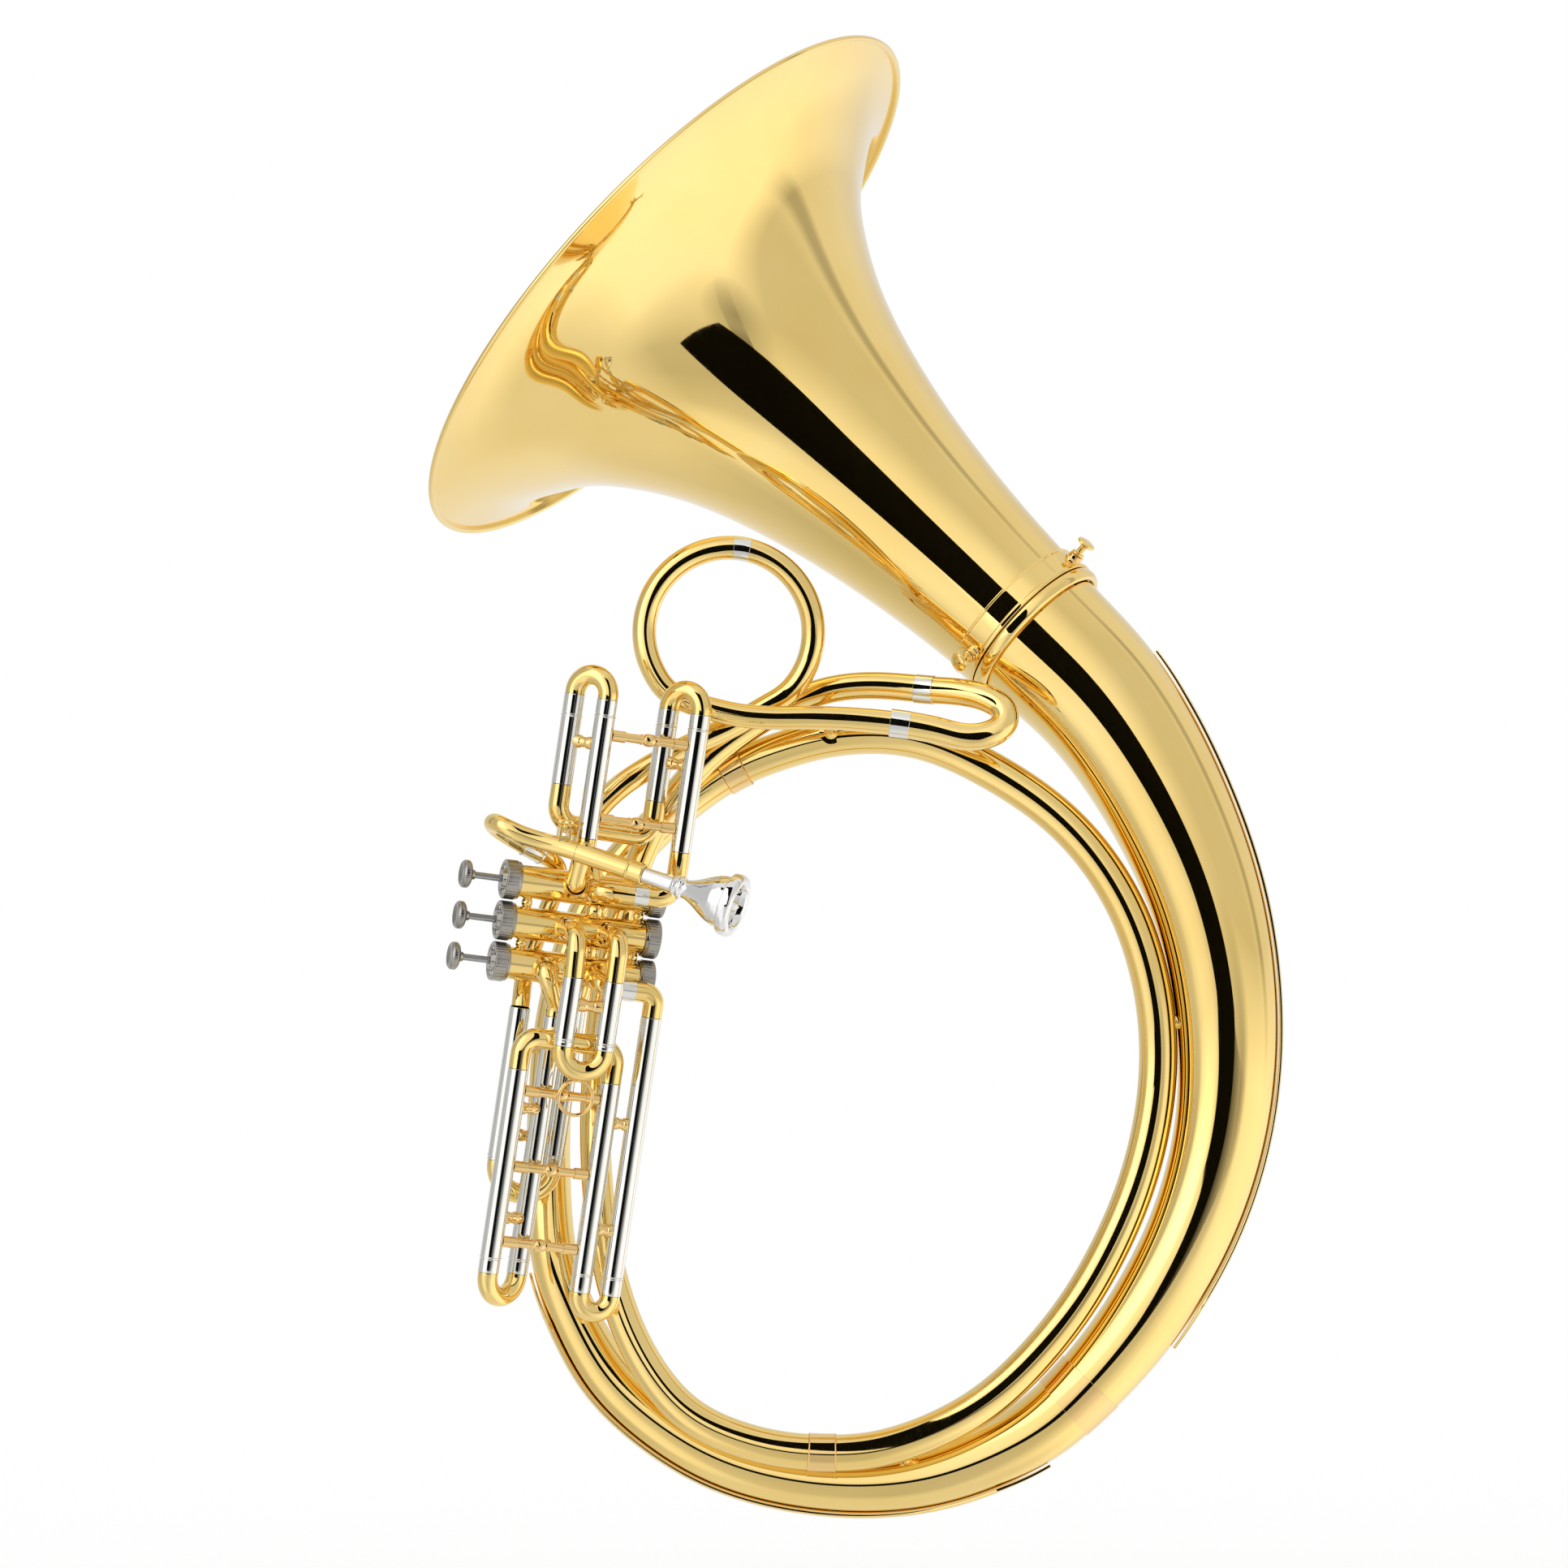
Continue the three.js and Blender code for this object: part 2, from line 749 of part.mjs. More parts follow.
// A length of the outer bow with a post that reaches for the inner loop and stops clear of it
function bowWithPost(rows, innerRow, outerRow) {
  const start = rowAfter(bodyRoute, rows[0], -overrun);
  const end = rowAfter(bodyRoute, rows[rows.length - 1], overrun);
  const past = [start, ...rows.slice(1, -1), end];
  const near = spanRows(innerRow - postReachRows, innerRow + postReachRows);
  const post = bar(bodyRoute.at(innerRow), bodyRoute.at(outerRow), loopPostRadius);
  const cuts = [routeRod(bodyRoute, past, -mainWall, bodySides), routeRod(bodyRoute, near, gap, bodySides)];
  return join([routeRod(bodyRoute, rows, 0, bodySides), post], cuts);
}

function addBody() {
  const piece = (from, to, sleeves) => pieceRows(bodyRoute, from, to, sleeves);
  const crookSleeve = crookFerruleLength;
  const loopLower = piece(crookRow, bottomFerruleRow, [crookSleeve, bottomFerruleLength]);
  const loopUpper = piece(bottomFerruleRow, topFerruleRow, [bottomFerruleLength, topFerruleLength]);
  const bowLower = piece(topFerruleRow, bowFerruleRow, [topFerruleLength, bowFerruleLength]);
  const bowUpper = piece(bowFerruleRow, collarRow, [bowFerruleLength, collarRelief * 2]).slice(0, -1);
  add('inner_loop_lower', routePipe(bodyRoute, loopLower, mainWall, bodySides), 'lacqueredBrass');
  add('inner_loop_upper', routePipe(bodyRoute, loopUpper, mainWall, bodySides), 'lacqueredBrass');
  add('outer_bow_lower', bowWithPost(bowLower, ...bottomPostRows), 'lacqueredBrass');
  add('outer_bow_upper', bowWithPost(bowUpper, ...sidePostRows), 'lacqueredBrass');
  const sleeve = (row, length) => routeSleeve(bodyRoute, row, length, bodySides);
  add('loop_ferrule_bottom', sleeve(bottomFerruleRow, bottomFerruleLength), 'lacqueredBrass');
  add('loop_ferrule_top', sleeve(topFerruleRow, topFerruleLength), 'lacqueredBrass');
  add('outer_bow_ferrule', sleeve(bowFerruleRow, bowFerruleLength), 'lacqueredBrass');
}

// Coil and crook

function coilPoints() {
  const points = [...coilPortShares.map(valvePlace), ...coilLeadShares.map(place)];
  const centre = place([coilCentreShares[0], 0, coilCentreShares[1]]);
  for (let k = 0; k <= coilSteps; k++) {
    const share = k / coilSteps;
    const degrees = coilFirstDegrees + (coilLastDegrees - coilFirstDegrees) * share;
    const depthShare = coilFirstDepthShare + (coilLastDepthShare - coilFirstDepthShare) * share;
    const angle = THREE.MathUtils.degToRad(degrees);
    const reach = coilRadiusShare * hornHeight;
    points.push(new THREE.Vector3(
      centre.x + reach * Math.cos(angle),
      depthShare * hornHeight,
      centre.z + reach * Math.sin(angle),
    ));
  }
  points.push(...coilTailShares.map(place), ...crookShares.map(place));
  points.push(...bodyRouteShares.slice(0, 3).map(place));
  return points;
}

function addCoil() {
  const points = coilPoints();
  const circleRow = coilPortShares.length + coilLeadShares.length;
  const topRow = circleRow + coilTopSteps;
  const tailRow = circleRow + coilSteps + coilTailShares.length;
  const coilRoute = makeRoute(points, points.map(() => coilTubeRadius));
  const crookRoute = makeRoute(points, points.map(() => crookTubeRadius));
  const bodyStartRow = points.length - 2;
  const rearRows = pieceRows(coilRoute, 0, topRow, [0, coilFerruleLength]);
  const rear = routePipe(coilRoute, rearRows.slice(1), smallWall, tubeSides);
  add('coil_rear', join([rear], [casingBar(0, gap)]), 'lacqueredBrass');
  const frontRows = pieceRows(coilRoute, topRow, tailRow, [coilFerruleLength, crookFerruleLength]);
  add('coil_front', routePipe(coilRoute, frontRows, smallWall, tubeSides), 'lacqueredBrass');
  add('coil_ferrule', routeSleeve(coilRoute, topRow, coilFerruleLength, tubeSides), 'nickelSilver');
  const crookSleeves = [crookFerruleLength, crookFerruleLength];
  const crookRows = pieceRows(crookRoute, tailRow, bodyStartRow, crookSleeves, crookSteps);
  add('crook', routePipe(crookRoute, crookRows, smallWall, tubeSides), 'lacqueredBrass');
  const frontSleeve = routeSleeve(crookRoute, tailRow, crookFerruleLength, tubeSides);
  add('crook_ferrule_front', frontSleeve, 'nickelSilver');
  const wideRoute = makeRoute(points, points.map(() => bodyRoute.radius(crookRow) + gap));
  const rearSleeve = routeSleeve(wideRoute, bodyStartRow, crookFerruleLength, bodySides);
  add('crook_ferrule_rear', rearSleeve, 'nickelSilver');
}

// Guards are thin strips that lie along the outside of the outer bow.
function guard(rows) {
  const centre = place(bodyCentreShares);
  const rings = spanRows(rows[0], rows[1]).map((row) => {
    const frame = bodyRoute.frame(row);
    const along = frame.across.clone().cross(frame.up).normalize();
    const outward = frame.centre.clone().sub(centre);
    outward.addScaledVector(along, -outward.dot(along)).normalize();
    const sideways = along.clone().cross(outward).normalize();
    const spread = guardHalfWidth / bodyRoute.radius(row);
    const inside = bodyRoute.radius(row) / Math.cos(spread / 2) + gap;
    const corner = (radius, angle) => frame.centre.clone()
      .addScaledVector(outward, radius * Math.cos(angle))
      .addScaledVector(sideways, radius * Math.sin(angle));
    const outside = inside + guardThickness;
    return [
      corner(inside, -spread),
      corner(outside, -spread),
      corner(outside, 0),
      corner(outside, spread),
      corner(inside, spread),
      corner(inside, 0),
    ];
  });
  return skin(rings, false);
}

function addGuards() {
  add('bow_guard_upper', guard(guardUpperRows), 'lacqueredBrass');
  add('bow_guard_lower', guard(guardLowerRows), 'lacqueredBrass');
}

// Bell, collar and thumbscrews, along the bell's own axis from the collar to the rim

const bellAxis = new THREE.Vector3(
  -Math.cos(bellTurnDegrees * Math.PI / 180) * Math.cos(bellTiltDegrees * Math.PI / 180),
  Math.sin(bellTiltDegrees * Math.PI / 180),
  Math.sin(bellTurnDegrees * Math.PI / 180) * Math.cos(bellTiltDegrees * Math.PI / 180),
);

// Along the bell's axis: the bow ends at 0, then its spigot, and the bell starts on the band.
const collarOrigin = bodyRoute.at(collarRow);
const bandStart = bowRingLength + gap;
const bellStart = bandStart + spigotLength + gap;

function addBell() {
  const flare = bellRimRadius - bellEndRadius;
  const end = bellStart + bellLength;
  const outside = bellProfileShares.map(([along, rise]) => {
    return [end - along * bellLength, bellEndRadius + rise * flare];
  });
  const inside = outside.map(([along, radius], i) => {
    const [nextAlong, nextRadius] = outside[Math.min(i + 1, outside.length - 1)];
    const [lastAlong, lastRadius] = outside[Math.max(i - 1, 0)];
    const slope = Math.atan2(lastRadius - nextRadius, lastAlong - nextAlong);
    return [along + bellWall * Math.sin(slope), radius - bellWall * Math.cos(slope)];
  });
  inside[inside.length - 1][0] = bellStart;
  const bead = [];
  const beadCentre = [end - rimWireRadius, bellRimRadius - rimWireRadius];
  for (let k = 0; k <= rimPoints; k++) {
    const angle = (rimFirstTurn + rimTurnSpan * k / rimPoints) * Math.PI;
    bead.push([
      beadCentre[0] + rimWireRadius * Math.cos(angle + Math.PI / 2),
      beadCentre[1] + rimWireRadius * Math.sin(angle + Math.PI / 2),
    ]);
  }
  const profile = [...inside.slice().reverse(), ...bead, ...outside];
  add('bell', turned(profile, collarOrigin, bellAxis, bellSides), 'lacqueredBrass');
}

function addCollar() {
  const spigotOutside = bellEndRadius - collarWall + gap;
  const ring = [
    [-bowRingLength / 2, bowRadius + collarClearance],
    [-bowRingLength / 2, bowRingRadius - collarWall],
    [0, bowRingRadius],
    [bowRingLength - ringEase, bowRingRadius],
    [bowRingLength, bowRingRadius - gap],
    [bowRingLength, spigotOutside],
    [bowRingLength + spigotLength, spigotOutside],
    [bowRingLength + spigotLength, spigotOutside - collarWall],
    [collarClearance, spigotOutside - collarWall],
    [collarClearance, bowRadius + collarClearance],
  ];
  add('bow_ring', turned(ring, collarOrigin, bellAxis, bellSides), 'lacqueredBrass');
  const bandInside = spigotOutside + gap;
  const bandOutside = bellEndRadius + collarWall + gap;
  const bandEnd = bandStart + collarLength;
  const band = [
    [bandStart, bandInside],
    [bandStart, bandOutside + collarFlange],
    [bandStart + collarFlangeLength, bandOutside + collarFlange],
    [bandStart + collarFlangeLength, bandOutside],
    [bandEnd, bandOutside - collarWall / 2],
    [bandEnd, bellEndRadius + gap + lipWall],
    [bellStart - gap, bellEndRadius + gap + lipWall],
    [bellStart - gap, bandInside],
  ];
  const bandSolid = turned(band, collarOrigin, bellAxis, bellSides);
  const bosses = [];
  const holes = [];
  for (let i = 0; i < screwCount; i++) {
    const { foot, radial } = screwPlace(i);
    const at = (height) => foot.clone().addScaledVector(radial, height);
    const bossEnds = [at(bandInside + collarWall), at(screwShoulderHeight - gap)];
    const holeEnds = [at(bandInside - collarWall), at(screwShoulderHeight + overrun)];
    bosses.push(bar(...bossEnds, screwShoulderRadius, tubeSides));
    holes.push(bar(...holeEnds, screwStemRadius + gap, tubeSides));
  }
  add('bell_ring', join([bandSolid, ...bosses], holes), 'lacqueredBrass');
  for (let i = 0; i < screwCount; i++) {
    const { foot, radial } = screwPlace(i);
    add(`collar_screw_${i + 1}`, turned(screwProfile(), foot, radial, tubeSides), 'lacqueredBrass');
  }
}

function screwPlace(index) {
  const middle = bandStart + collarFlangeLength + screwShoulderRadius;
  const foot = collarOrigin.clone().addScaledVector(bellAxis, middle);
  const sideways = new THREE.Vector3(0, 1, 0);
  sideways.addScaledVector(bellAxis, -sideways.dot(bellAxis)).normalize();
  const upRight = sideways.clone().cross(bellAxis).normalize();
  if (upRight.z < 0) upRight.negate();
  const angle = (screwFirstDegrees + 360 / screwCount * index) * Math.PI / 180;
  const radial = upRight.multiplyScalar(Math.cos(angle)).addScaledVector(sideways, -Math.sin(angle));
  return { foot, radial };
}

function screwProfile() {
  const head = screwHeadHeight - screwHeadThickness / 2;
  const top = screwHeadHeight + screwHeadThickness / 2;
  const edge = screwHeadThickness * screwEdgeShare;
  return [
    [screwTipHeight, 0],
    [screwTipHeight, screwStemRadius],
    [screwShoulderHeight, screwStemRadius],
    [screwShoulderHeight, screwShoulderRadius],
    [screwShoulderHeight + edge, screwShoulderRadius],
    [screwShoulderHeight + edge * 2, screwStemRadius],
    [head - edge, screwStemRadius],
    [head, screwHeadRadius],
    [top - edge, screwHeadRadius],
    [top, screwHeadRadius - edge],
    [top, 0],
  ];
}

// Valves, each with its casing, caps, piston, button and spring

function alongCasing(index, from, to) {
  return [inValves(from, 0, valveHeight(index)), inValves(to, 0, valveHeight(index))];
}

function casingBar(index, spare) {
  return bar(...alongCasing(index, casingTop, casingBottom), casingRadius + spare, casingSides);
}

function knucklePath(name) {
  return kneed(knuckleShares[name].map(valvePlace));
}

function knuckleRod(name) {
  return rod(knucklePath(name), knuckleRadius, tubeSides);
}

function knuckleBore(name) {
  return rod(extended(knucklePath(name), overrun), knuckleRadius - smallWall, tubeSides);
}

// A straight hole up or down out of a casing at a place along it
function verticalPort(index, along, way, radius, reach) {
  const height = valveHeight(index);
  return bar(inValves(along, 0, height), inValves(along, 0, height + way * reach), radius, tubeSides);
}

function frontPort(index, along) {
  const height = valveHeight(index);
  const mouth = inValves(along, -casingRadius - overrun, height);
  return bar(inValves(along, 0, height), mouth, portRadius, tubeSides);
}

const portReach = casingRadius + overrun / 2;

function addCasing(index, knuckles, extraParts, extraCuts) {
  const solids = [casingBar(index, 0), ...knuckles.map(knuckleRod), ...extraParts];
  const bore = bar(
    ...alongCasing(index, casingTop - overrun, casingBottom + overrun),
    casingRadius - casingWall,
    casingSides,
  );
  const cuts = [
    bore,
    ...knuckles.map(knuckleBore),
    verticalPort(index, airEntryShares[index] * valveLength, -1, portRadius, portReach),
    verticalPort(index, airExitShares[index] * valveLength, 1, portRadius, portReach),
    ...extraCuts,
  ];
  add(`valve_casing_${index + 1}`, join(solids, cuts), 'lacqueredBrass');
}

function addCasings() {
  addCasing(0, ['firstLeft'], [], [frontPort(0, knuckleShares.firstRight[0][0] * valveLength)]);
  const middle = [];
  for (const way of [-1, 1]) {
    const other = inValves(crossoverPlace, 0, way * valvePitch);
    middle.push(bar(inValves(crossoverPlace, 0, 0), other, crossoverRadius, tubeSides));
    for (const share of balusterShares) {
      const along = share * valveLength;
      const ends = [inValves(along, 0, 0), inValves(along, 0, way * valvePitch)];
      middle.push(bar(...ends, balusterRadius));
      const ball = new THREE.SphereGeometry(balusterBallRadius, rodSides, bendSteps);
      const centre = ends[0].clone().add(ends[1]).divideScalar(2);
      middle.push(ball.translate(centre.x, centre.y, centre.z));
    }
  }
  const through = bar(
    inValves(crossoverPlace, 0, -valvePitch),
    inValves(crossoverPlace, 0, valvePitch),
    portRadius,
    tubeSides,
  );
  addCasing(1, ['secondLeft', 'secondRight'], middle, [casingBar(0, gap), casingBar(2, gap), through]);
  addCasing(2, ['thirdLeft', 'inlet'], [], [frontPort(2, knuckleShares.thirdRight[0][0] * valveLength)]);
}

const capBore = casingRadius + 2 * gap;
const stemHole = stemRadius + gap;

function addCaps(index) {
  const foot = inValves(0, 0, valveHeight(index));
  const along = inValves(1, 0, 0).sub(inValves(0, 0, 0));
  const topInside = casingTop - gap;
  const topFace = topInside - capPlate;
  const top = [
    [topInside + capSkirt, capBore],
    [topInside + capSkirt, capRadius],
    [topFace + capEdge, capRadius],
    [topFace, capRadius - capEdge],
    [topFace, capHubRadius],
    [topFace - capHubHeight, capHubRadius - capEdge],
    [topFace - capHubHeight, stemHole],
    [topInside, stemHole],
    [topInside, capBore],
  ];
  add(`top_cap_${index + 1}`, turned(top, foot, along, casingSides), 'darkNickel');
  const bottomInside = casingBottom + gap;
  const bottomFace = bottomInside + capPlate;
  const bottom = [
    [bottomInside, 0],
    [bottomInside, capBore],
    [bottomInside - capSkirt, capBore],
    [bottomInside - capSkirt, capRadius],
    [bottomFace - capEdge, capRadius],
    [bottomFace, capRadius - capEdge],
    [bottomFace, capHubRadius],
    [bottomFace - capEdge, capHubRadius - capEdge],
    [bottomFace - capEdge, 0],
  ];
  add(`bottom_cap_${index + 1}`, turned(bottom, foot, along, casingSides), 'darkNickel');
}

function addPiston(index, frontPorts) {
  const radius = casingRadius - casingWall - pistonClearance;
  const height = valveHeight(index);
  const solids = [
    bar(...alongCasing(index, pistonTop, pistonBottom), radius, casingSides),
    bar(...alongCasing(index, buttonTop + buttonThickness / 2, pistonTop + overrun), stemRadius),
  ];
  // At rest the air goes straight through, and pressed down it turns off into the slides.
  const reach = casingRadius;
  const entry = airEntryShares[index] * valveLength;
  const exit = airExitShares[index] * valveLength;
  const passage = (from, to) => {
    const past = to.clone().sub(from).setLength(overrun);
    return bar(from.clone().sub(past), to.clone().add(past), passageRadius);
  };
  const passages = [
    passage(inValves(entry, 0, height - reach), inValves(exit, 0, height + reach)),
    passage(
      inValves(entry - pistonStroke, 0, height - reach),
      inValves(frontPorts[1] - pistonStroke, -reach, height),
    ),
    passage(
      inValves(exit - pistonStroke, 0, height + reach),
      inValves(frontPorts[0] - pistonStroke, -reach, height),
    ),
  ];
  add(`piston_${index + 1}`, join(solids, passages), 'pistonMetal');
}

function addButton(index) {
  const foot = inValves(0, 0, valveHeight(index));
  const along = inValves(1, 0, 0).sub(inValves(0, 0, 0));
  const under = buttonTop + buttonThickness;
  const socket = buttonTop + buttonThickness / 2 - gap;
  const profile = [
    [buttonTop, 0],
    [buttonTop, buttonRadius - capEdge * 2],
    [buttonTop + capEdge, buttonRadius],
    [under - capEdge, buttonRadius],
    [under, buttonRadius - capEdge],
    [under, buttonHubRadius],
    [under + buttonHubLength, buttonHubRadius - capEdge],
    [under + buttonHubLength, stemHole],
    [socket, stemHole],
    [socket, 0],
  ];
  add(`button_${index + 1}`, turned(profile, foot, along, casingSides), 'darkNickel');
}

function addSpring(index) {
  const height = valveHeight(index);
  const first = pistonBottom + gap + springWire;
  const last = casingBottom - springWire;
  const path = [];
  const count = springTurns * turnSteps;
  for (let i = 0; i <= count; i++) {
    const angle = i / turnSteps * 2 * Math.PI;
    path.push(inValves(
      first + (last - first) * i / count,
      springRadius * Math.cos(angle),
      height + springRadius * Math.sin(angle),
    ));
  }
  add(`valve_spring_${index + 1}`, rod(path, springWire, squareSides), 'springSteel');
}

// Slides

function legEnds(name) {
  const [along, away, fixed, open] = legShares[name];
  return [valvePlace([along, away, fixed]), valvePlace([along, away, open])];
}

function legRod(name) {
  const [fixed, open] = legEnds(name);
  const length = fixed.distanceTo(open);
  const collar = legRadius + legCollarRise;
  const bead = legRadius + beadHeight;
  const beadStart = length - beadLength;
  const places = [0, legCollarLength, legCollarLength + step, beadStart, beadStart + step, length];
  const radii = [collar, collar, legRadius, legRadius, bead, bead];
  return rod(places.map((along) => fixed.clone().lerp(open, along / length)), radii, tubeSides);
}

function legBore(name) {
  return rod(extended(legEnds(name), overrun), legRadius - legWall, tubeSides);
}

function crossBar(firstLeg, secondLeg, heightShare, radius, shortOfSecond = 0) {
  const first = legShares[firstLeg];
  const second = legShares[secondLeg];
  const start = valvePlace([first[0], first[1], heightShare]);
  const end = valvePlace([second[0], second[1], heightShare]);
  if (shortOfSecond) end.add(start.clone().sub(end).setLength(shortOfSecond));
  return [start, end, radius];
}

function addLegs(name, pair, stubs, braces = []) {
  const solids = pair.map(legRod);
  for (const height of stubs) solids.push(bar(...crossBar(pair[0], pair[1], height, stubRadius)));
  for (const [from, to, height] of braces) {
    const [start, end, radius] = crossBar(from, to, height, braceRadius, legRadius + gap);
    solids.push(bar(start, end, radius));
    const middle = valvePlace([
      (legShares[from][0] + legShares[to][0]) / 2,
      (legShares[from][1] + legShares[to][1]) / 2,
      height,
    ]);
    const ball = new THREE.SphereGeometry(braceBallRadius, rodSides, bendSteps);
    solids.push(ball.translate(middle.x, middle.y, middle.z));
  }
  add(name, join(solids, pair.map(legBore)), 'nickelSilver');
}

function addBow(name, pair, reachShare) {
  const [first, second] = pair.map((leg) => legShares[leg]);
  const shorter = Math.min(...pair.map((leg) => legEnds(leg)[0].distanceTo(legEnds(leg)[1])));
  const insert = shorter * insertShare / valveLength;
  const way = Math.sign(reachShare - first[3]);
  const start = valvePlace([first[0], first[1], reachShare]);
  const end = valvePlace([second[0], second[1], reachShare]);
  const radius = start.distanceTo(end) / 2;
  const centreShare = reachShare - way * (radius + slideBowRadius) / valveLength;
  const shoulderShare = centreShare - way * bowShoulder / valveLength;
  const inner = (leg) => valvePlace([leg[0], leg[1], leg[3] - way * insert]);
  const under = (leg) => valvePlace([leg[0], leg[1], shoulderShare - way * step / valveLength]);
  const shoulder = (leg) => valvePlace([leg[0], leg[1], shoulderShare]);
  const path = [inner(first), under(first), shoulder(first)];
  const radii = [innerTubeRadius, innerTubeRadius, slideBowRadius];
  const centre = valvePlace([(first[0] + second[0]) / 2, (first[1] + second[1]) / 2, centreShare]);
  const out = valvePlace([0, 0, way]).sub(valveOrigin).setLength(radius);
  const across = start.clone().sub(end).setLength(radius);
  for (let k = 0; k <= arcSteps; k++) {
    const angle = Math.PI * k / arcSteps;
    path.push(centre.clone().addScaledVector(across, Math.cos(angle)).addScaledVector(out, Math.sin(angle)));
    radii.push(slideBowRadius);
  }
  path.push(shoulder(second), under(second), inner(second));
  radii.push(slideBowRadius, innerTubeRadius, innerTubeRadius);
  const bore = innerTubeRadius - innerTubeWall;
  add(name, pipeOn(leaningFrames(path), radii, bore, tubeSides), 'lacqueredBrass');
}

function openKneed(shares, radius) {
  const path = kneed(shares.map(valvePlace), radius, arcSteps);
  return pipe(path, knuckleRadius, knuckleRadius - smallWall, tubeSides);
}

function addSlides() {
  const first = ['firstLeftLong', 'firstLeftShort'];
  const firstRight = ['firstRightLong', 'firstRightShort'];
  const braces = firstBraceShares.map((height) => ['firstLeftLong', 'firstRightLong', height]);
  addLegs('slide_1_left_legs', first, stubHeightShares.firstLeft, braces);
  addLegs('slide_1_right_legs', firstRight, stubHeightShares.firstRight);
  addBow('slide_1_left_bow', first, bowReachShares.firstLeft);
  addBow('slide_1_right_bow', firstRight, bowReachShares.firstRight);
  add('slide_1_link', openKneed(linkShares, wideKneeRadius), 'lacqueredBrass');
  const second = ['secondLeft', 'secondRight'];
  addLegs('slide_2_legs', second, stubHeightShares.second);
  addBow('slide_2_bow', second, bowReachShares.second);
  const third = ['thirdLeftFront', 'thirdLeftRear'];
  const thirdRight = ['thirdRightFront', 'thirdRightRear'];
  const thirdBraces = thirdBraceShares.map((height) => ['thirdLeftFront', 'thirdRightFront', height]);
  addLegs('slide_3_left_legs', third, stubHeightShares.thirdLeft, thirdBraces);
  addLegs('slide_3_right_legs', thirdRight, stubHeightShares.thirdRight);
  addBow('slide_3_left_bow', third, bowReachShares.thirdLeft);
  addBow('slide_3_right_bow', thirdRight, bowReachShares.thirdRight);
  add('slide_3_arc', openKneed(arcShares, wideKneeRadius), 'lacqueredBrass');
  const tuning = ['tuningLeft', 'tuningRight'];
  addLegs('tuning_legs', tuning, stubHeightShares.tuning);
  addBow('tuning_bow', tuning, bowReachShares.tuning);
  const elbows = [['slide_1_elbow', 'firstRight', 0], ['slide_3_elbow', 'thirdRight', 2]];
  for (const [name, knuckle, index] of elbows) {
    const tube = pipe(knucklePath(knuckle), knuckleRadius, knuckleRadius - smallWall, tubeSides);
    add(name, join([tube], [casingBar(index, gap)]), 'lacqueredBrass');
  }
}

// The ring for the right hand sits on a brace between the front legs of the third slide.
function addFingerRing() {
  const centre = valvePlace(ringPlaceShares);
  const path = [];
  for (let k = 0; k <= ringSteps; k++) {
    const angle = 2 * Math.PI * k / ringSteps;
    const [along, away, up] = ringPlaceShares;
    path.push(valvePlace([
      along + ringRadius / valveLength * Math.cos(angle),
      away,
      up + ringRadius / valveLength * Math.sin(angle),
    ]));
  }
  const rings = path.slice(0, -1).map((middle) => {
    const outward = middle.clone().sub(centre).normalize();
    const facing = inValves(0, 1, 0).sub(valveOrigin);
    const points = [];
    for (let j = 0; j < ringSides; j++) {
      const angle = 2 * Math.PI * j / ringSides;
      const point = middle.clone().addScaledVector(outward, ringWire * Math.cos(angle));
      points.push(point.addScaledVector(facing, ringWire * Math.sin(angle)));
    }
    return points;
  });
  const arms = [['thirdLeftFront', -1], ['thirdRightFront', 1]].map(([leg, way]) => {
    const [along, away] = legShares[leg];
    const height = ringPlaceShares[2] + ringArmRiseShare;
    const tip = valvePlace([along - way * (legRadius + legCollarRise + gap) / valveLength, away, height]);
    const reach = Math.sqrt(ringRadius ** 2 - (ringArmRiseShare * valveLength) ** 2) / valveLength;
    return bar(tip, valvePlace([ringPlaceShares[0] + way * reach, away, height]), ringWire, rodSides);
  });
  add('finger_ring', join([skin(rings, true), ...arms]), 'lacqueredBrass');
}

// Leadpipe, receiver, mouthpiece and lyre socket

const receiverPlace = valvePlace(receiverPlaceShares);
const receiverLine = inValves(...receiverLineShares).sub(valveOrigin).normalize();

function onReceiver(distance) {
  return receiverPlace.clone().addScaledVector(receiverLine, distance);
}

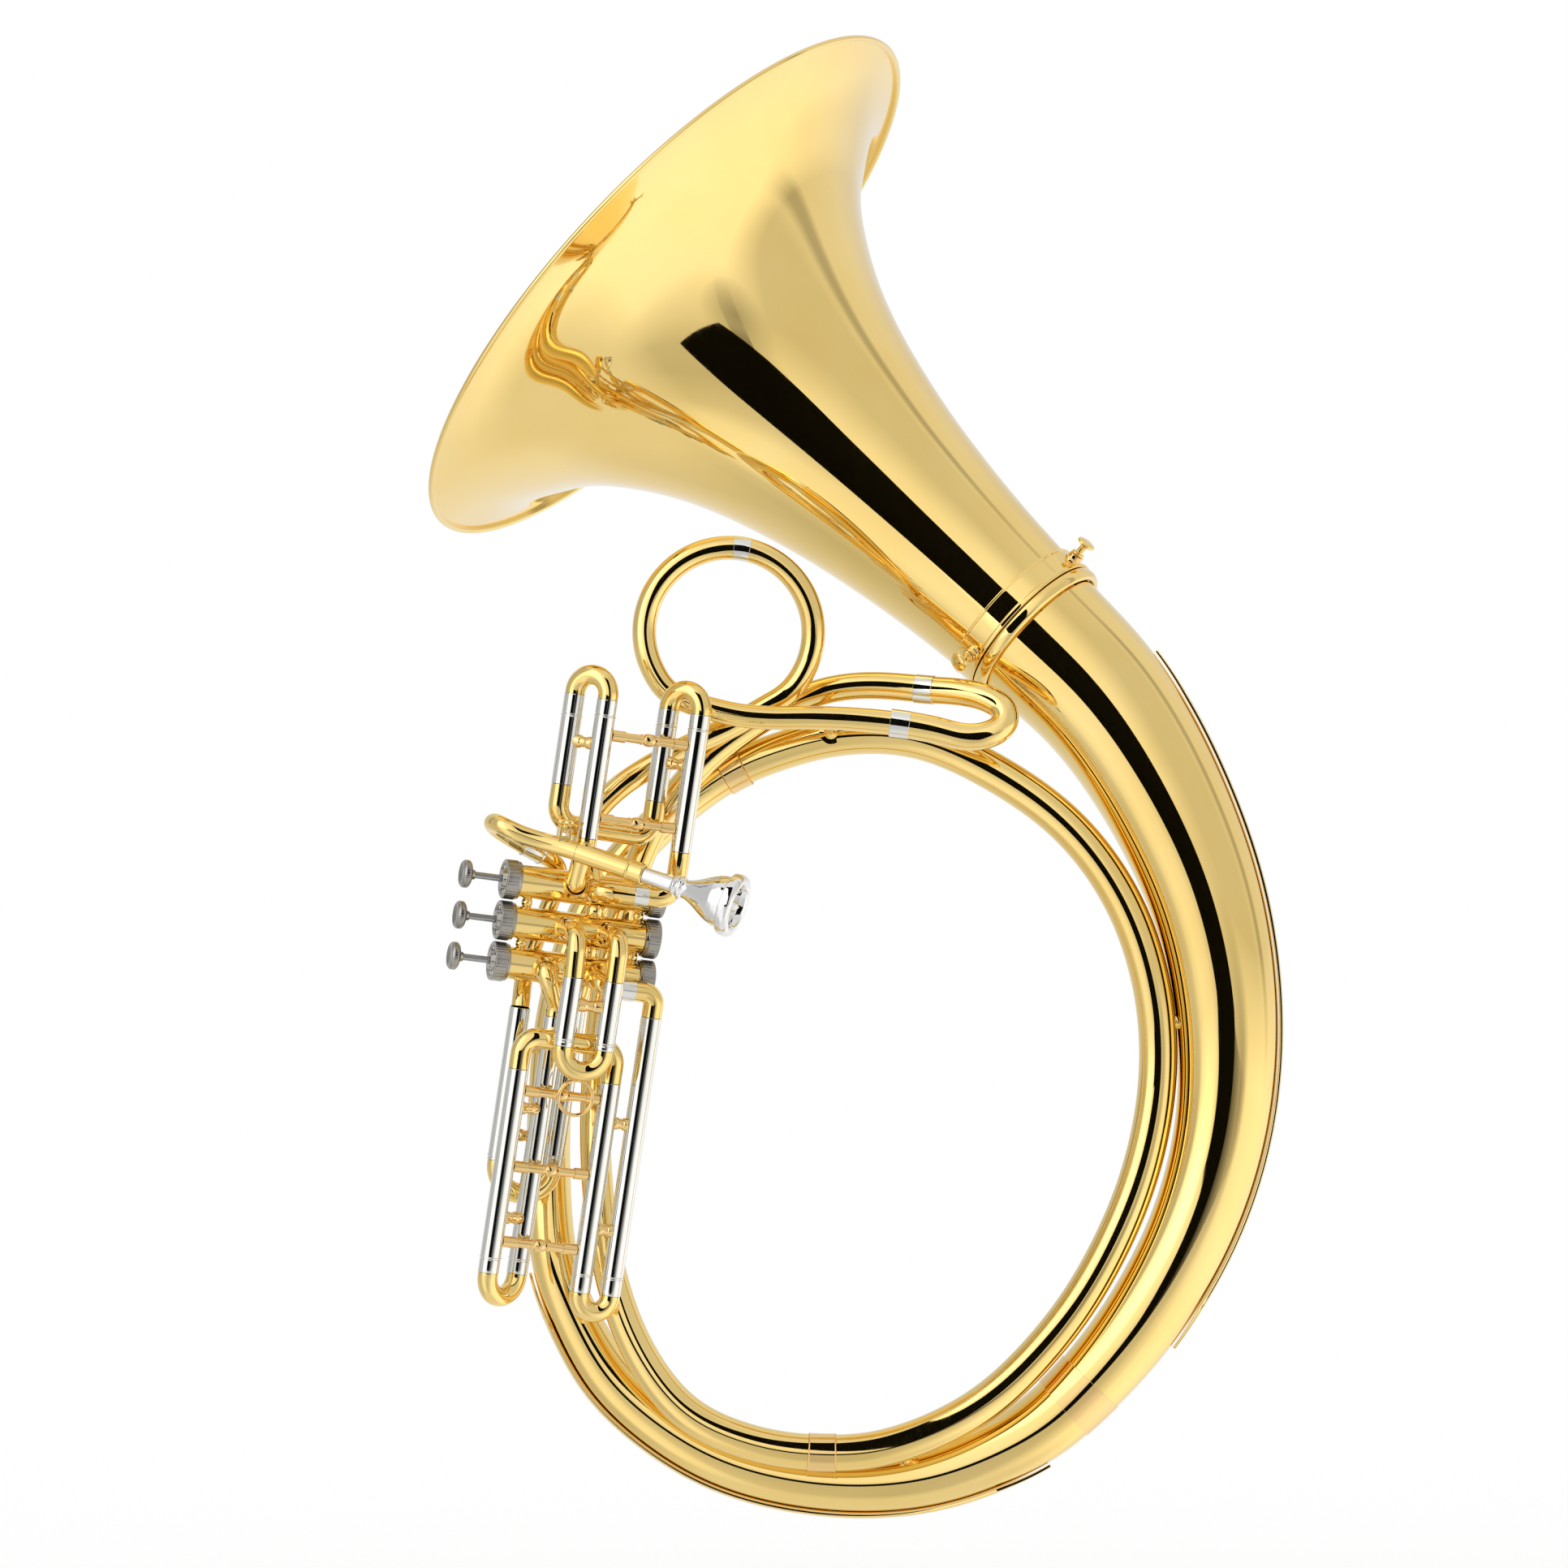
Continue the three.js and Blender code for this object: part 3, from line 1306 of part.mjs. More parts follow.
function addLeadpipe() {
  const start = onReceiver(-receiverBack - gap);
  const points = [start, onReceiver(-receiverBack - receiverLead), ...leadpipeShares.map(valvePlace)];
  const curve = new THREE.CatmullRomCurve3(points, false, 'centripetal');
  const path = [];
  const count = (points.length - 1) * spanSteps;
  for (let i = 0; i <= count; i++) path.push(curve.getPoint(i / count));
  const foot = valvePlace(lyrePlaceShares);
  const up = inValves(0, 0, 1).sub(valveOrigin);
  const away = inValves(0, 1, 0).sub(valveOrigin);
  const side = lyreWidth / 2 * Math.SQRT2;
  const top = foot.clone().addScaledVector(up, lyreRise + lyreHeight);
  const holeMiddle = foot.clone().addScaledVector(up, lyreRise + lyreHeight / 2);
  const hole = bar(
    holeMiddle.clone().addScaledVector(away, -lyreWidth),
    holeMiddle.clone().addScaledVector(away, lyreWidth),
    lyreHole / 2,
    squareSides,
  );
  const holeTop = top.clone().addScaledVector(up, overrun);
  const screwHole = bar(holeMiddle, holeTop, lyreScrewRadius + gap, tubeSides);
  const bore = rod(extended(path, overrun), leadpipeRadius - smallWall, tubeSides);
  const solids = [rod(path, leadpipeRadius, tubeSides), bar(foot, top, side, squareSides)];
  add('leadpipe', join(solids, [bore, hole, screwHole]), 'lacqueredBrass');
  const screw = [
    [-lyreScrewDepth, 0],
    [-lyreScrewDepth, lyreScrewRadius],
    [lyreScrewRise, lyreScrewRadius],
    [lyreScrewRise, lyreKnobRadius],
    [lyreScrewRise + lyreKnobThickness, lyreKnobRadius],
    [lyreScrewRise + lyreKnobThickness, 0],
  ];
  add('lyre_screw', turned(screw, top, up, tubeSides), 'lacqueredBrass');
}

function addReceiver() {
  const places = [
    -receiverBack,
    receiverFront - receiverMouthLength,
    receiverFront - receiverMouthLength + step,
    receiverFront,
  ];
  const radii = [receiverRadius, receiverRadius, receiverMouthRadius, receiverMouthRadius];
  add('receiver', pipe(places.map(onReceiver), radii, receiverBore, tubeSides), 'lacqueredBrass');
}

function addMouthpiece() {
  const rim = onReceiver(receiverFront + mouthpieceShow);
  const toProfile = ([along, radius]) => [along * mouthpieceLength, radius * rimRadius];
  const profile = [...mouthpieceOutsideShares.map(toProfile), ...mouthpieceInsideShares.map(toProfile)];
  add('mouthpiece', turned(profile, rim, receiverLine.clone().negate(), mouthpieceSides), 'silverPlate');
}

function addValves() {
  addCasings();
  const frontPorts = [
    ['firstLeft', 'firstRight'],
    ['secondLeft', 'secondRight'],
    ['thirdLeft', 'thirdRight'],
  ];
  frontPorts.forEach((names, index) => {
    addCaps(index);
    addPiston(index, names.map((name) => knuckleShares[name][0][0] * valveLength));
    addButton(index);
    addSpring(index);
  });
}

addBody();
addCoil();
addGuards();
addBell();
addCollar();
addValves();
addSlides();
addFingerRing();
addLeadpipe();
addReceiver();
addMouthpiece();

export default horn;
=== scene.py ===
import math

import bpy
import numpy as np
from mathutils import Euler, Matrix, Vector


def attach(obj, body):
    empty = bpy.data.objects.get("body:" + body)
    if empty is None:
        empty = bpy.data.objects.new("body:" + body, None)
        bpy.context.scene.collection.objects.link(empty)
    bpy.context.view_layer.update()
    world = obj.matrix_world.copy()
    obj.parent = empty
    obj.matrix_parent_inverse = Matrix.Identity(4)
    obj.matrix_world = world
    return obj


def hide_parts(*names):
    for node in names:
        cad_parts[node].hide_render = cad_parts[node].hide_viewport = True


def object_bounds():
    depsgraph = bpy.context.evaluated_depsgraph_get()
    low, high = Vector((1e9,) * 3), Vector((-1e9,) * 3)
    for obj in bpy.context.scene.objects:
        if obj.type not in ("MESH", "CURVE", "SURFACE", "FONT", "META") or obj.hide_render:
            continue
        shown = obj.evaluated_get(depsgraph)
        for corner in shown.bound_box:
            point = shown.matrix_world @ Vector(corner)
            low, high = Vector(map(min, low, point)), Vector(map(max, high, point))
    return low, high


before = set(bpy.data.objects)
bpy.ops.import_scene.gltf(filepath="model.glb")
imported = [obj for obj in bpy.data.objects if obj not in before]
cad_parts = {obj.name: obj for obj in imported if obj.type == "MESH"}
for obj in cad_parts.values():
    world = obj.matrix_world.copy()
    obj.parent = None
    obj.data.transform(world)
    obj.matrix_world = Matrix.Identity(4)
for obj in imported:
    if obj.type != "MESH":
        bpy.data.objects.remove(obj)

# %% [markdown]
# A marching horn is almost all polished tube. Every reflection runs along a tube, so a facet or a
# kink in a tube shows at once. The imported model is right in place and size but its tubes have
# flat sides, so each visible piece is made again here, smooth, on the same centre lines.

cad_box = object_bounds()
print("packed box", [round(x, 4) for corner in cad_box for x in corner])

# %% [markdown]
# Sizes are in metres. The horn's height drives the long routes and the valve's length drives the
# valve section, whose own directions are along the pistons, away from the viewer and up.

# %% Driving sizes and places
HORN_HEIGHT = 0.921
VALVE_LENGTH = 0.1
VALVE_TURN = math.radians(16.15)
VALVE_LEAN = math.radians(7.2)
VALVE_ROLL = math.radians(5.7)
VALVE_SET_SHARES = (-0.195, -0.0505, -0.117)
SEAM = 0.00015

valve_facing = Euler((VALVE_ROLL, VALVE_LEAN, VALVE_TURN), "XYZ").to_matrix()
valve_origin = Vector(VALVE_SET_SHARES) * HORN_HEIGHT


def in_valves(along, away, up):
    return valve_facing @ Vector((along, away, up)) + valve_origin


def valve_place(shares):
    return in_valves(*(share * VALVE_LENGTH for share in shares[:3]))


def place(shares):
    return Vector(shares[:3]) * HORN_HEIGHT


piston_way = valve_facing @ Vector((1, 0, 0))
away_way = valve_facing @ Vector((0, 1, 0))
up_way = valve_facing @ Vector((0, 0, 1))
print("valve set at", [round(x, 4) for x in valve_origin])

# %% [markdown]
# Polished metal needs something to break up its mirror: brass under lacquer is a little deeper
# in some places than in others, and buffing leaves faint lines. Each finish below mixes two near
# tones with soft noise, varies the roughness with fine stretched noise and adds a trace of bump.

# %% A polished metal
CLOUD_SCALE = 11.0
CLOUD_DETAIL = 3.0
LINES_SCALE = 260.0
LINES_DETAIL = 4.0
NOISE_LOW, NOISE_HIGH = 0.3, 0.7
LACQUER_ROUGHNESS = 0.04
WAVE_HEIGHT = 0.0001


def set_inputs(node, **values):
    """Sets a node's own sockets. A blank in a socket's name is written as an underscore."""
    for name, value in values.items():
        node.inputs[name.replace("_", " ")].default_value = value
    return node


def metal(name, tone, deep_tone, polish, grain, wave, lacquer=0.0):
    """One metal finish. polish is its lowest and highest roughness, grain the stretch of its lines."""
    made = bpy.data.materials.new(name)
    made.use_nodes = True
    nodes, links = made.node_tree.nodes, made.node_tree.links
    shader = set_inputs(
        nodes["Principled BSDF"], Metallic=1.0, Coat_Weight=lacquer, Coat_Roughness=LACQUER_ROUGHNESS,
    )
    where = nodes.new("ShaderNodeTexCoord")
    cloud = set_inputs(nodes.new("ShaderNodeTexNoise"), Scale=CLOUD_SCALE, Detail=CLOUD_DETAIL)
    links.new(where.outputs["Object"], cloud.inputs["Vector"])
    tones = nodes.new("ShaderNodeValToRGB")
    for element, position, colour in zip(tones.color_ramp.elements, (NOISE_LOW, NOISE_HIGH), (deep_tone, tone)):
        element.position = position
        element.color = (*colour, 1)
    links.new(cloud.outputs["Fac"], tones.inputs["Fac"])
    links.new(tones.outputs["Color"], shader.inputs["Base Color"])
    stretch = set_inputs(nodes.new("ShaderNodeMapping"), Scale=grain)
    links.new(where.outputs["Object"], stretch.inputs["Vector"])
    lines = set_inputs(nodes.new("ShaderNodeTexNoise"), Scale=LINES_SCALE, Detail=LINES_DETAIL)
    links.new(stretch.outputs["Vector"], lines.inputs["Vector"])
    rough = set_inputs(
        nodes.new("ShaderNodeMapRange"), From_Min=NOISE_LOW, From_Max=NOISE_HIGH, To_Min=polish[0], To_Max=polish[1],
    )
    links.new(lines.outputs["Fac"], rough.inputs["Value"])
    links.new(rough.outputs["Result"], shader.inputs["Roughness"])
    bump = set_inputs(nodes.new("ShaderNodeBump"), Strength=wave, Distance=WAVE_HEIGHT)
    links.new(lines.outputs["Fac"], bump.inputs["Height"])
    links.new(bump.outputs["Normal"], shader.inputs["Normal"])
    return made


# %% The finishes of the horn
ROUND_GRAIN = (1, 1, 0.25)
brass = metal("lacquered brass", (0.95, 0.71, 0.27), (0.91, 0.655, 0.215), (0.02, 0.05), ROUND_GRAIN, 0.002, 0.35)
rose_brass = metal(
    "warm brass fittings", (0.93, 0.665, 0.29), (0.88, 0.6, 0.23), (0.02, 0.05), ROUND_GRAIN, 0.003, 0.3,
)
nickel = metal("nickel silver tube", (0.83, 0.82, 0.77), (0.78, 0.77, 0.71), (0.02, 0.05), ROUND_GRAIN, 0.002)
silver = metal("silver plate", (0.9, 0.9, 0.89), (0.84, 0.84, 0.83), (0.015, 0.04), ROUND_GRAIN, 0.003)
dark_nickel = metal("dark nickel caps", (0.44, 0.42, 0.38), (0.3, 0.285, 0.26), (0.03, 0.08), ROUND_GRAIN, 0.006)
steel = metal("oiled piston metal", (0.42, 0.42, 0.42), (0.35, 0.35, 0.35), (0.16, 0.3), (4, 4, 0.2), 0.06)
spring_wire = metal("spring wire", (0.45, 0.45, 0.46), (0.36, 0.36, 0.37), (0.2, 0.35), ROUND_GRAIN, 0.05)

# %% [markdown]
# Every finished piece goes through one door: it gets its finish, is shaded smooth except across
# real edges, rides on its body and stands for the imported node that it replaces.

# %% Finishing a piece
SHARP_ANGLE = math.radians(40)


def pick(piece):
    bpy.ops.object.select_all(action="DESELECT")
    piece.select_set(True)
    bpy.context.view_layer.objects.active = piece


def apply(piece, kind, **settings):
    """Adds a modifier with its settings and applies it."""
    modifier = piece.modifiers.new(kind.lower(), kind)
    for setting, value in settings.items():
        setattr(modifier, setting, value)
    pick(piece)
    bpy.ops.object.modifier_apply(modifier=modifier.name)
    return piece


def dress(piece, name, finish, body="horn", nodes=()):
    piece.name = f"{name}_smooth" if nodes else name
    piece.data.name = piece.name
    piece.data.materials.clear()
    piece.data.materials.append(finish)
    pick(piece)
    bpy.ops.object.shade_smooth_by_angle(angle=SHARP_ANGLE)
    apply(piece, "WEIGHTED_NORMAL", keep_sharp=True)
    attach(piece, body)
    if nodes:
        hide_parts(*nodes)
    print(name, len(piece.data.polygons), "faces")
    return piece


# %% [markdown]
# Turned parts, such as caps, buttons, screws and the bell, are made as on a lathe: one vertex is
# extruded along half of the section, and the section is spun round the axis. A plane merged to its
# centre is a quick way to get one vertex. Corners are rounded first, because an edge with no
# radius never catches the light.

# %% Turning a section on a lathe
TURN_STEPS = 64
WELD = 0.000002


def rounded(corners, radius, steps=3, closed=True):
    """The section with each corner replaced by a short curve."""
    points = [Vector(corner) for corner in corners]
    made = []
    count = len(points)
    for i, corner in enumerate(points):
        before, after = points[i - 1], points[(i + 1) % count]
        if (not closed and i in (0, count - 1)) or corner.y == 0:
            made.append(corner)
            continue
        start = corner + (before - corner).normalized() * min(radius, (before - corner).length / 2)
        end = corner + (after - corner).normalized() * min(radius, (after - corner).length / 2)
        for k in range(steps + 1):
            share = k / steps
            made.append(start.lerp(corner, share).lerp(corner.lerp(end, share), share))
    if closed:
        made.append(made[0])
    return made


def onto(axis):
    return Vector((0, 0, 1)).rotation_difference(Vector(axis)).to_matrix().to_4x4()


def turned(section, foot, axis, steps=TURN_STEPS):
    """Spins a section of (along, radius) points round an axis that starts at foot."""
    bpy.ops.object.select_all(action="DESELECT")
    bpy.ops.mesh.primitive_plane_add(size=WELD)
    piece = bpy.context.object
    bpy.ops.object.mode_set(mode="EDIT")
    bpy.ops.mesh.select_all(action="SELECT")
    bpy.ops.mesh.merge(type="CENTER")
    bpy.ops.transform.translate(value=(section[0][1], 0, section[0][0]))
    for (low, near), (high, far) in zip(section, section[1:]):
        bpy.ops.mesh.extrude_region_move(TRANSFORM_OT_translate={"value": (far - near, 0, high - low)})
    bpy.ops.mesh.select_all(action="SELECT")
    bpy.ops.mesh.spin(steps=steps, angle=math.tau, center=(0, 0, 0), axis=(0, 0, 1))
    bpy.ops.mesh.select_all(action="SELECT")
    bpy.ops.mesh.remove_doubles(threshold=WELD)
    bpy.ops.mesh.normals_make_consistent(inside=False)
    bpy.ops.object.mode_set(mode="OBJECT")
    piece.data.transform(Matrix.Translation(foot) @ onto(axis))
    return piece


def joined(pieces):
    bpy.ops.object.select_all(action="DESELECT")
    for piece in pieces:
        piece.select_set(True)
    bpy.context.view_layer.objects.active = pieces[0]
    bpy.ops.object.join()
    return pieces[0]


# %% [markdown]
# A bent tube is a curve with a round bevel whose radius changes from point to point. The routes
# are smooth lines through a few places, and a pass of smoothing along the line takes out the last
# unevenness that a mirror finish would show. The curve becomes a mesh, and Solidify gives the wall.

# %% A route: a smooth line with a radius at each place
GRAIN = 0.0015
SPLINE_STEPS = 14


def spline_through(points):
    """A centripetal line through the points, with the row that each sample belongs to."""
    rows = [2 * points[0] - points[1], *points, 2 * points[-1] - points[-2]]
    samples, places = [], []
    for i in range(1, len(rows) - 2):
        p = rows[i - 1:i + 3]
        t = [0.0]
        for a, b in zip(p, p[1:]):
            t.append(t[-1] + max((b - a).length, WELD) ** 0.5)
        for k in range(SPLINE_STEPS + (i == len(rows) - 3)):
            s = t[1] + (t[2] - t[1]) * k / SPLINE_STEPS
            a1 = p[0].lerp(p[1], (s - t[0]) / (t[1] - t[0]))
            a2 = p[1].lerp(p[2], (s - t[1]) / (t[2] - t[1]))
            a3 = p[2].lerp(p[3], (s - t[2]) / (t[3] - t[2]))
            b1 = a1.lerp(a2, (s - t[0]) / (t[2] - t[0]))
            b2 = a2.lerp(a3, (s - t[1]) / (t[3] - t[1]))
            samples.append(b1.lerp(b2, (s - t[1]) / (t[2] - t[1])))
            places.append(i - 1 + k / SPLINE_STEPS)
    return np.array(samples), np.array(places)


def softened(values, spread):
    """Values at even spacing, smoothed with a bell-shaped weight, the ends held."""
    if spread <= 0:
        return values
    reach = int(3 * spread) + 1
    weights = np.exp(-0.5 * (np.arange(-reach, reach + 1) / spread) ** 2)
    weights /= weights.sum()
    before = 2 * values[0] - values[reach:0:-1]
    after = 2 * values[-1] - values[-2:-reach - 2:-1]
    padded = np.concatenate([before, values, after])
    return np.stack([np.convolve(padded[:, k], weights, "valid") for k in range(values.shape[1])], 1)


class Route:
    def __init__(self, points, radii, softness):
        samples, places = spline_through([Vector(p) for p in points])
        lengths = np.concatenate([[0], np.cumsum(np.linalg.norm(np.diff(samples, axis=0), axis=1))])
        self.even = np.linspace(0, lengths[-1], int(lengths[-1] / GRAIN) + 1)
        self.rows = np.interp(self.even, lengths, places)
        radius = np.interp(self.rows, np.arange(len(radii)), radii)
        line = np.stack([np.interp(self.even, lengths, samples[:, k]) for k in range(3)], 1)
        both = np.concatenate([line, radius[:, None]], 1)
        self.values = softened(both, softness / GRAIN)
        self.values[:, 3] = softened(both[:, 3:], 2 * softness / GRAIN)[:, 0]

    def length_at(self, row):
        return float(np.interp(row, self.rows, self.even))

    def at(self, lengths):
        return np.stack([np.interp(lengths, self.even, self.values[:, k]) for k in range(4)], 1)

    def cut(self, start, end, step):
        count = max(2, int(abs(end - start) / step))
        return self.at(np.linspace(start, end, count + 1))

    def direction(self, length):
        near, far = self.at([length - GRAIN, length + GRAIN])
        return Vector(far[:3] - near[:3]).normalized()


# %% A tube along points with radii
def tube(stations, wall, sides=40):
    """A tube on rows of x, y, z and outer radius."""
    bpy.ops.object.select_all(action="DESELECT")
    bpy.ops.curve.primitive_bezier_curve_add()
    piece = bpy.context.object
    line = piece.data
    line.splines.clear()
    run = line.splines.new("POLY")
    run.points.add(len(stations) - 1)
    for point, (x, y, z, radius) in zip(run.points, stations):
        point.co = (x, y, z, 1)
        point.radius = radius
    line.dimensions = "3D"
    line.twist_mode = "MINIMUM"
    line.bevel_depth = 1.0
    line.bevel_resolution = (sides - 4) // 2
    line.use_fill_caps = False
    bpy.ops.object.convert(target="MESH")
    piece = bpy.context.object
    bpy.ops.object.mode_set(mode="EDIT")
    bpy.ops.mesh.select_all(action="SELECT")
    bpy.ops.mesh.normals_make_consistent(inside=False)
    bpy.ops.object.mode_set(mode="OBJECT")
    return apply(piece, "SOLIDIFY", thickness=wall, offset=-1.0)


def band(route, middle, length, rise, wire=0.0, wall=0.001, sides=56):
    """A sleeve round a route with crisp ends and, if asked for, a wire edge at each end."""
    half, ease = length / 2, SEAM
    spots = [(-half, rise - ease), (-half + ease, rise)]
    if wire:
        turns = [math.pi * k / 8 for k in range(9)]
        spots = [(-half + wire * (1 - math.cos(a)), rise + wire * math.sin(a)) for a in turns]
    first = spots[-1][0] + ease
    runs = max(2, int(-2 * first / GRAIN))
    spots += [(first - 2 * first * k / runs, rise) for k in range(runs)]
    spots += [(-along, extra) for along, extra in reversed(spots[:-runs + 1])]
    stations = route.at(np.array([middle + along for along, _ in spots]))
    stations[:, 3] += np.array([extra for _, extra in spots])
    return tube(stations, wall, sides)


print("tools ready")

# %% [markdown]
# The air goes round the body twice. The tube grows all the way from the crook to the bell, first as
# the inner loop and then as the outer bow, and it is made in four lengths that meet in ferrules.

# %% The body's route
BOW_RADIUS = 0.046
BODY_ROUTE_SHARES = (
    (0.06, -0.019, 0.041, 0.187), (0.035, -0.0105, 0.043, 0.187), (0.007, -0.005, 0.046, 0.183),
    (-0.022, -0.001, 0.045, 0.18), (-0.049, 0.001, 0.037, 0.18), (-0.074, -0.0005, 0.023, 0.18),
    (-0.1, -0.004, 0.006, 0.183), (-0.125, -0.0076, -0.018, 0.185), (-0.145, -0.011, -0.047, 0.187),
    (-0.161, -0.0125, -0.085, 0.189), (-0.173, -0.013, -0.128, 0.191), (-0.181, -0.015, -0.174, 0.196),
    (-0.185, -0.018, -0.229, 0.202), (-0.184, -0.0235, -0.283, 0.209), (-0.176, -0.0255, -0.343, 0.217),
    (-0.157, -0.0275, -0.397, 0.228), (-0.124, -0.0285, -0.44, 0.237), (-0.075, -0.0285, -0.461, 0.243),
    (-0.034, -0.028, -0.466, 0.248), (0.008, -0.0265, -0.463, 0.25), (0.072, -0.0225, -0.435, 0.252),
    (0.126, -0.015, -0.382, 0.254), (0.159, -0.011, -0.329, 0.257), (0.181, -0.008, -0.273, 0.259),
    (0.191, -0.007, -0.213, 0.259), (0.187, -0.009, -0.156, 0.259), (0.168, -0.01, -0.099, 0.259),
    (0.133, -0.009, -0.05, 0.259), (0.083, -0.004, -0.013, 0.259), (0.028, 0, 0.0108, 0.259),
    (-0.024, 0.005, 0.0118, 0.261), (-0.062, 0.01, 0.002, 0.261), (-0.093, 0.014, -0.01, 0.263),
    (-0.123, 0.0157, -0.03, 0.27), (-0.155, 0.0163, -0.059, 0.274), (-0.183, 0.0163, -0.093, 0.278),
    (-0.201, 0.0152, -0.134, 0.283), (-0.212, 0.013, -0.181, 0.287), (-0.216, 0.008, -0.231, 0.291),
    (-0.217, 0.003, -0.283, 0.298), (-0.212, 0, -0.343, 0.315), (-0.194, 0.002, -0.388, 0.337),
    (-0.17, 0.0035, -0.424, 0.365), (-0.107, 0.0038, -0.469, 0.391), (-0.034, 0.0035, -0.487, 0.404),
    (0.039, 0.002, -0.483, 0.428), (0.106, 0, -0.455, 0.461), (0.137, 0, -0.429, 0.478),
    (0.178, 0, -0.381, 0.539), (0.214, 0, -0.317, 0.587), (0.234, 0, -0.248, 0.635),
    (0.237, 0, -0.173, 0.696), (0.223, 0.001, -0.096, 0.765), (0.189, 0.004, -0.017, 0.861),
    (0.153, 0.012, 0.038, 0.939), (0.111, 0.024, 0.08, 1), (0.092, 0.031, 0.099, 1.033),
)
BODY_SOFTNESS = 0.012
BODY_SIDES = 64
CROOK_ROW, BOTTOM_ROW, TOP_ROW, BOW_ROW, COLLAR_ROW = 1, 18, 32, 47, 55
MAIN_WALL = 0.0009

body_route = Route(
    [place(row) for row in BODY_ROUTE_SHARES],
    [row[3] * BOW_RADIUS for row in BODY_ROUTE_SHARES],
    BODY_SOFTNESS,
)
print("body route", round(body_route.even[-1], 3), "m")

# %% The four lengths of the body
COLLAR_SETBACK = 0.0015
BODY_STEP = 0.004
for name, start_row, end_row in (
    ("inner_loop_lower", CROOK_ROW, BOTTOM_ROW),
    ("inner_loop_upper", BOTTOM_ROW, TOP_ROW),
    ("outer_bow_lower", TOP_ROW, BOW_ROW),
    ("outer_bow_upper", BOW_ROW, COLLAR_ROW),
):
    start = body_route.length_at(start_row) + SEAM
    end = body_route.length_at(end_row) - (COLLAR_SETBACK if end_row == COLLAR_ROW else SEAM)
    length = tube(body_route.cut(start, end, BODY_STEP), MAIN_WALL, BODY_SIDES)
    dress(length, name, brass, nodes=[name])

# %% [markdown]
# A ferrule is a short sleeve soldered over the joint of two tubes, in a slightly redder brass. The
# two on the inner loop have a fine wire edge at each end.

# %% Ferrules of the body
for name, row, length, rise, wire in (
    ("loop_ferrule_bottom", BOTTOM_ROW, 0.017, 0.0006, 0.0004),
    ("loop_ferrule_top", TOP_ROW, 0.0145, 0.0012, 0.0003),
    ("outer_bow_ferrule", BOW_ROW, 0.024, 0.0006, 0),
):
    sleeve = band(body_route, body_route.length_at(row), length, rise, wire)
    dress(sleeve, name, rose_brass, nodes=[name])

# %% [markdown]
# Two guards lie along the outside of the outer bow. Each is a thin springy strip that follows
# the curve and comes to a blunt point at both ends. A grid is laid on the tube by its two
# counts, and Solidify gives it its thickness.

# %% Guards of the outer bow
GUARD_ROWS = {"bow_guard_upper": (48, 54), "bow_guard_lower": (40, 46)}
GUARD_HALF_WIDTH = 0.007
GUARD_THICKNESS = 0.0018
GUARD_POINT = 0.03
GUARD_CLEARANCE = 0.0003
LOOP_CENTRE_SHARES = (0.003, 0, -0.223)


def guard(start_row, end_row):
    start, end = body_route.length_at(start_row), body_route.length_at(end_row)
    long_steps, wide_steps = int((end - start) / BODY_STEP), 8
    bpy.ops.object.select_all(action="DESELECT")
    bpy.ops.mesh.primitive_grid_add(x_subdivisions=long_steps, y_subdivisions=wide_steps, size=2)
    piece = bpy.context.object
    centre = place(LOOP_CENTRE_SHARES)
    for vertex in piece.data.vertices:
        length = start + (end - start) * (vertex.co.x + 1) / 2
        x, y, z, radius = body_route.at(np.array([length]))[0]
        middle, along = Vector((x, y, z)), body_route.direction(length)
        outward = middle - centre
        outward = (outward - along * outward.dot(along)).normalized()
        sideways = along.cross(outward)
        taper = min(1.0, 0.25 + 0.75 * min(length - start, end - length) / GUARD_POINT)
        angle = vertex.co.y * taper * GUARD_HALF_WIDTH / radius
        reach = radius + GUARD_CLEARANCE + GUARD_THICKNESS
        vertex.co = middle + (outward * math.cos(angle) + sideways * math.sin(angle)) * reach
    apply(piece, "SOLIDIFY", thickness=GUARD_THICKNESS, offset=0.0)
    return apply(piece, "BEVEL", width=0.0004, segments=2)


for name, rows in GUARD_ROWS.items():
    dress(guard(*rows), name, brass, nodes=[name])

# %% [markdown]
# The two loops are tied to each other by short posts, each with a thin round foot soldered to
# either tube. A foot is turned flat, and then its points are moved down onto the round tube.

# %% Posts between the loops
FOOT_THICKNESS = 0.0007


def seated(piece, foot, axis, tube_way, tube_radius, reach):
    """Moves the points within reach of a foot down onto the tube that it stands on."""
    across = axis.cross(tube_way).normalized()
    for vertex in piece.data.vertices:
        offset = vertex.co - foot
        along = offset.dot(axis)
        if along < reach:
            side = min(abs(offset.dot(across)), tube_radius * 0.98)
            drop = tube_radius - math.sqrt(tube_radius ** 2 - side ** 2)
            vertex.co -= axis * drop * min(1.0, (reach - along) / (reach - FOOT_THICKNESS))
    return piece


def post(start, end, radius, foot_radius, start_tube, end_tube):
    """A post between two tubes, each given as its direction and its radius."""
    way = end - start
    length, way = way.length, way.normalized()
    reach = min(0.004, length * 0.3)
    half = [(0, 0), (0, foot_radius), (FOOT_THICKNESS, foot_radius), (FOOT_THICKNESS, radius * 1.5), (reach, radius)]
    section = half + [(length - along, r) for along, r in reversed(half)]
    piece = turned(rounded(section, 0.0003, 2)[:-1], start, way, 40)
    seated(piece, start, way, *start_tube, reach)
    return seated(piece, end, -way, *end_tube, reach)


def on_route(route, row):
    """Middle, direction and radius of a route at one of its rows."""
    length = route.length_at(row)
    x, y, z, radius = route.at(np.array([length]))[0]
    return Vector((x, y, z)), route.direction(length), radius


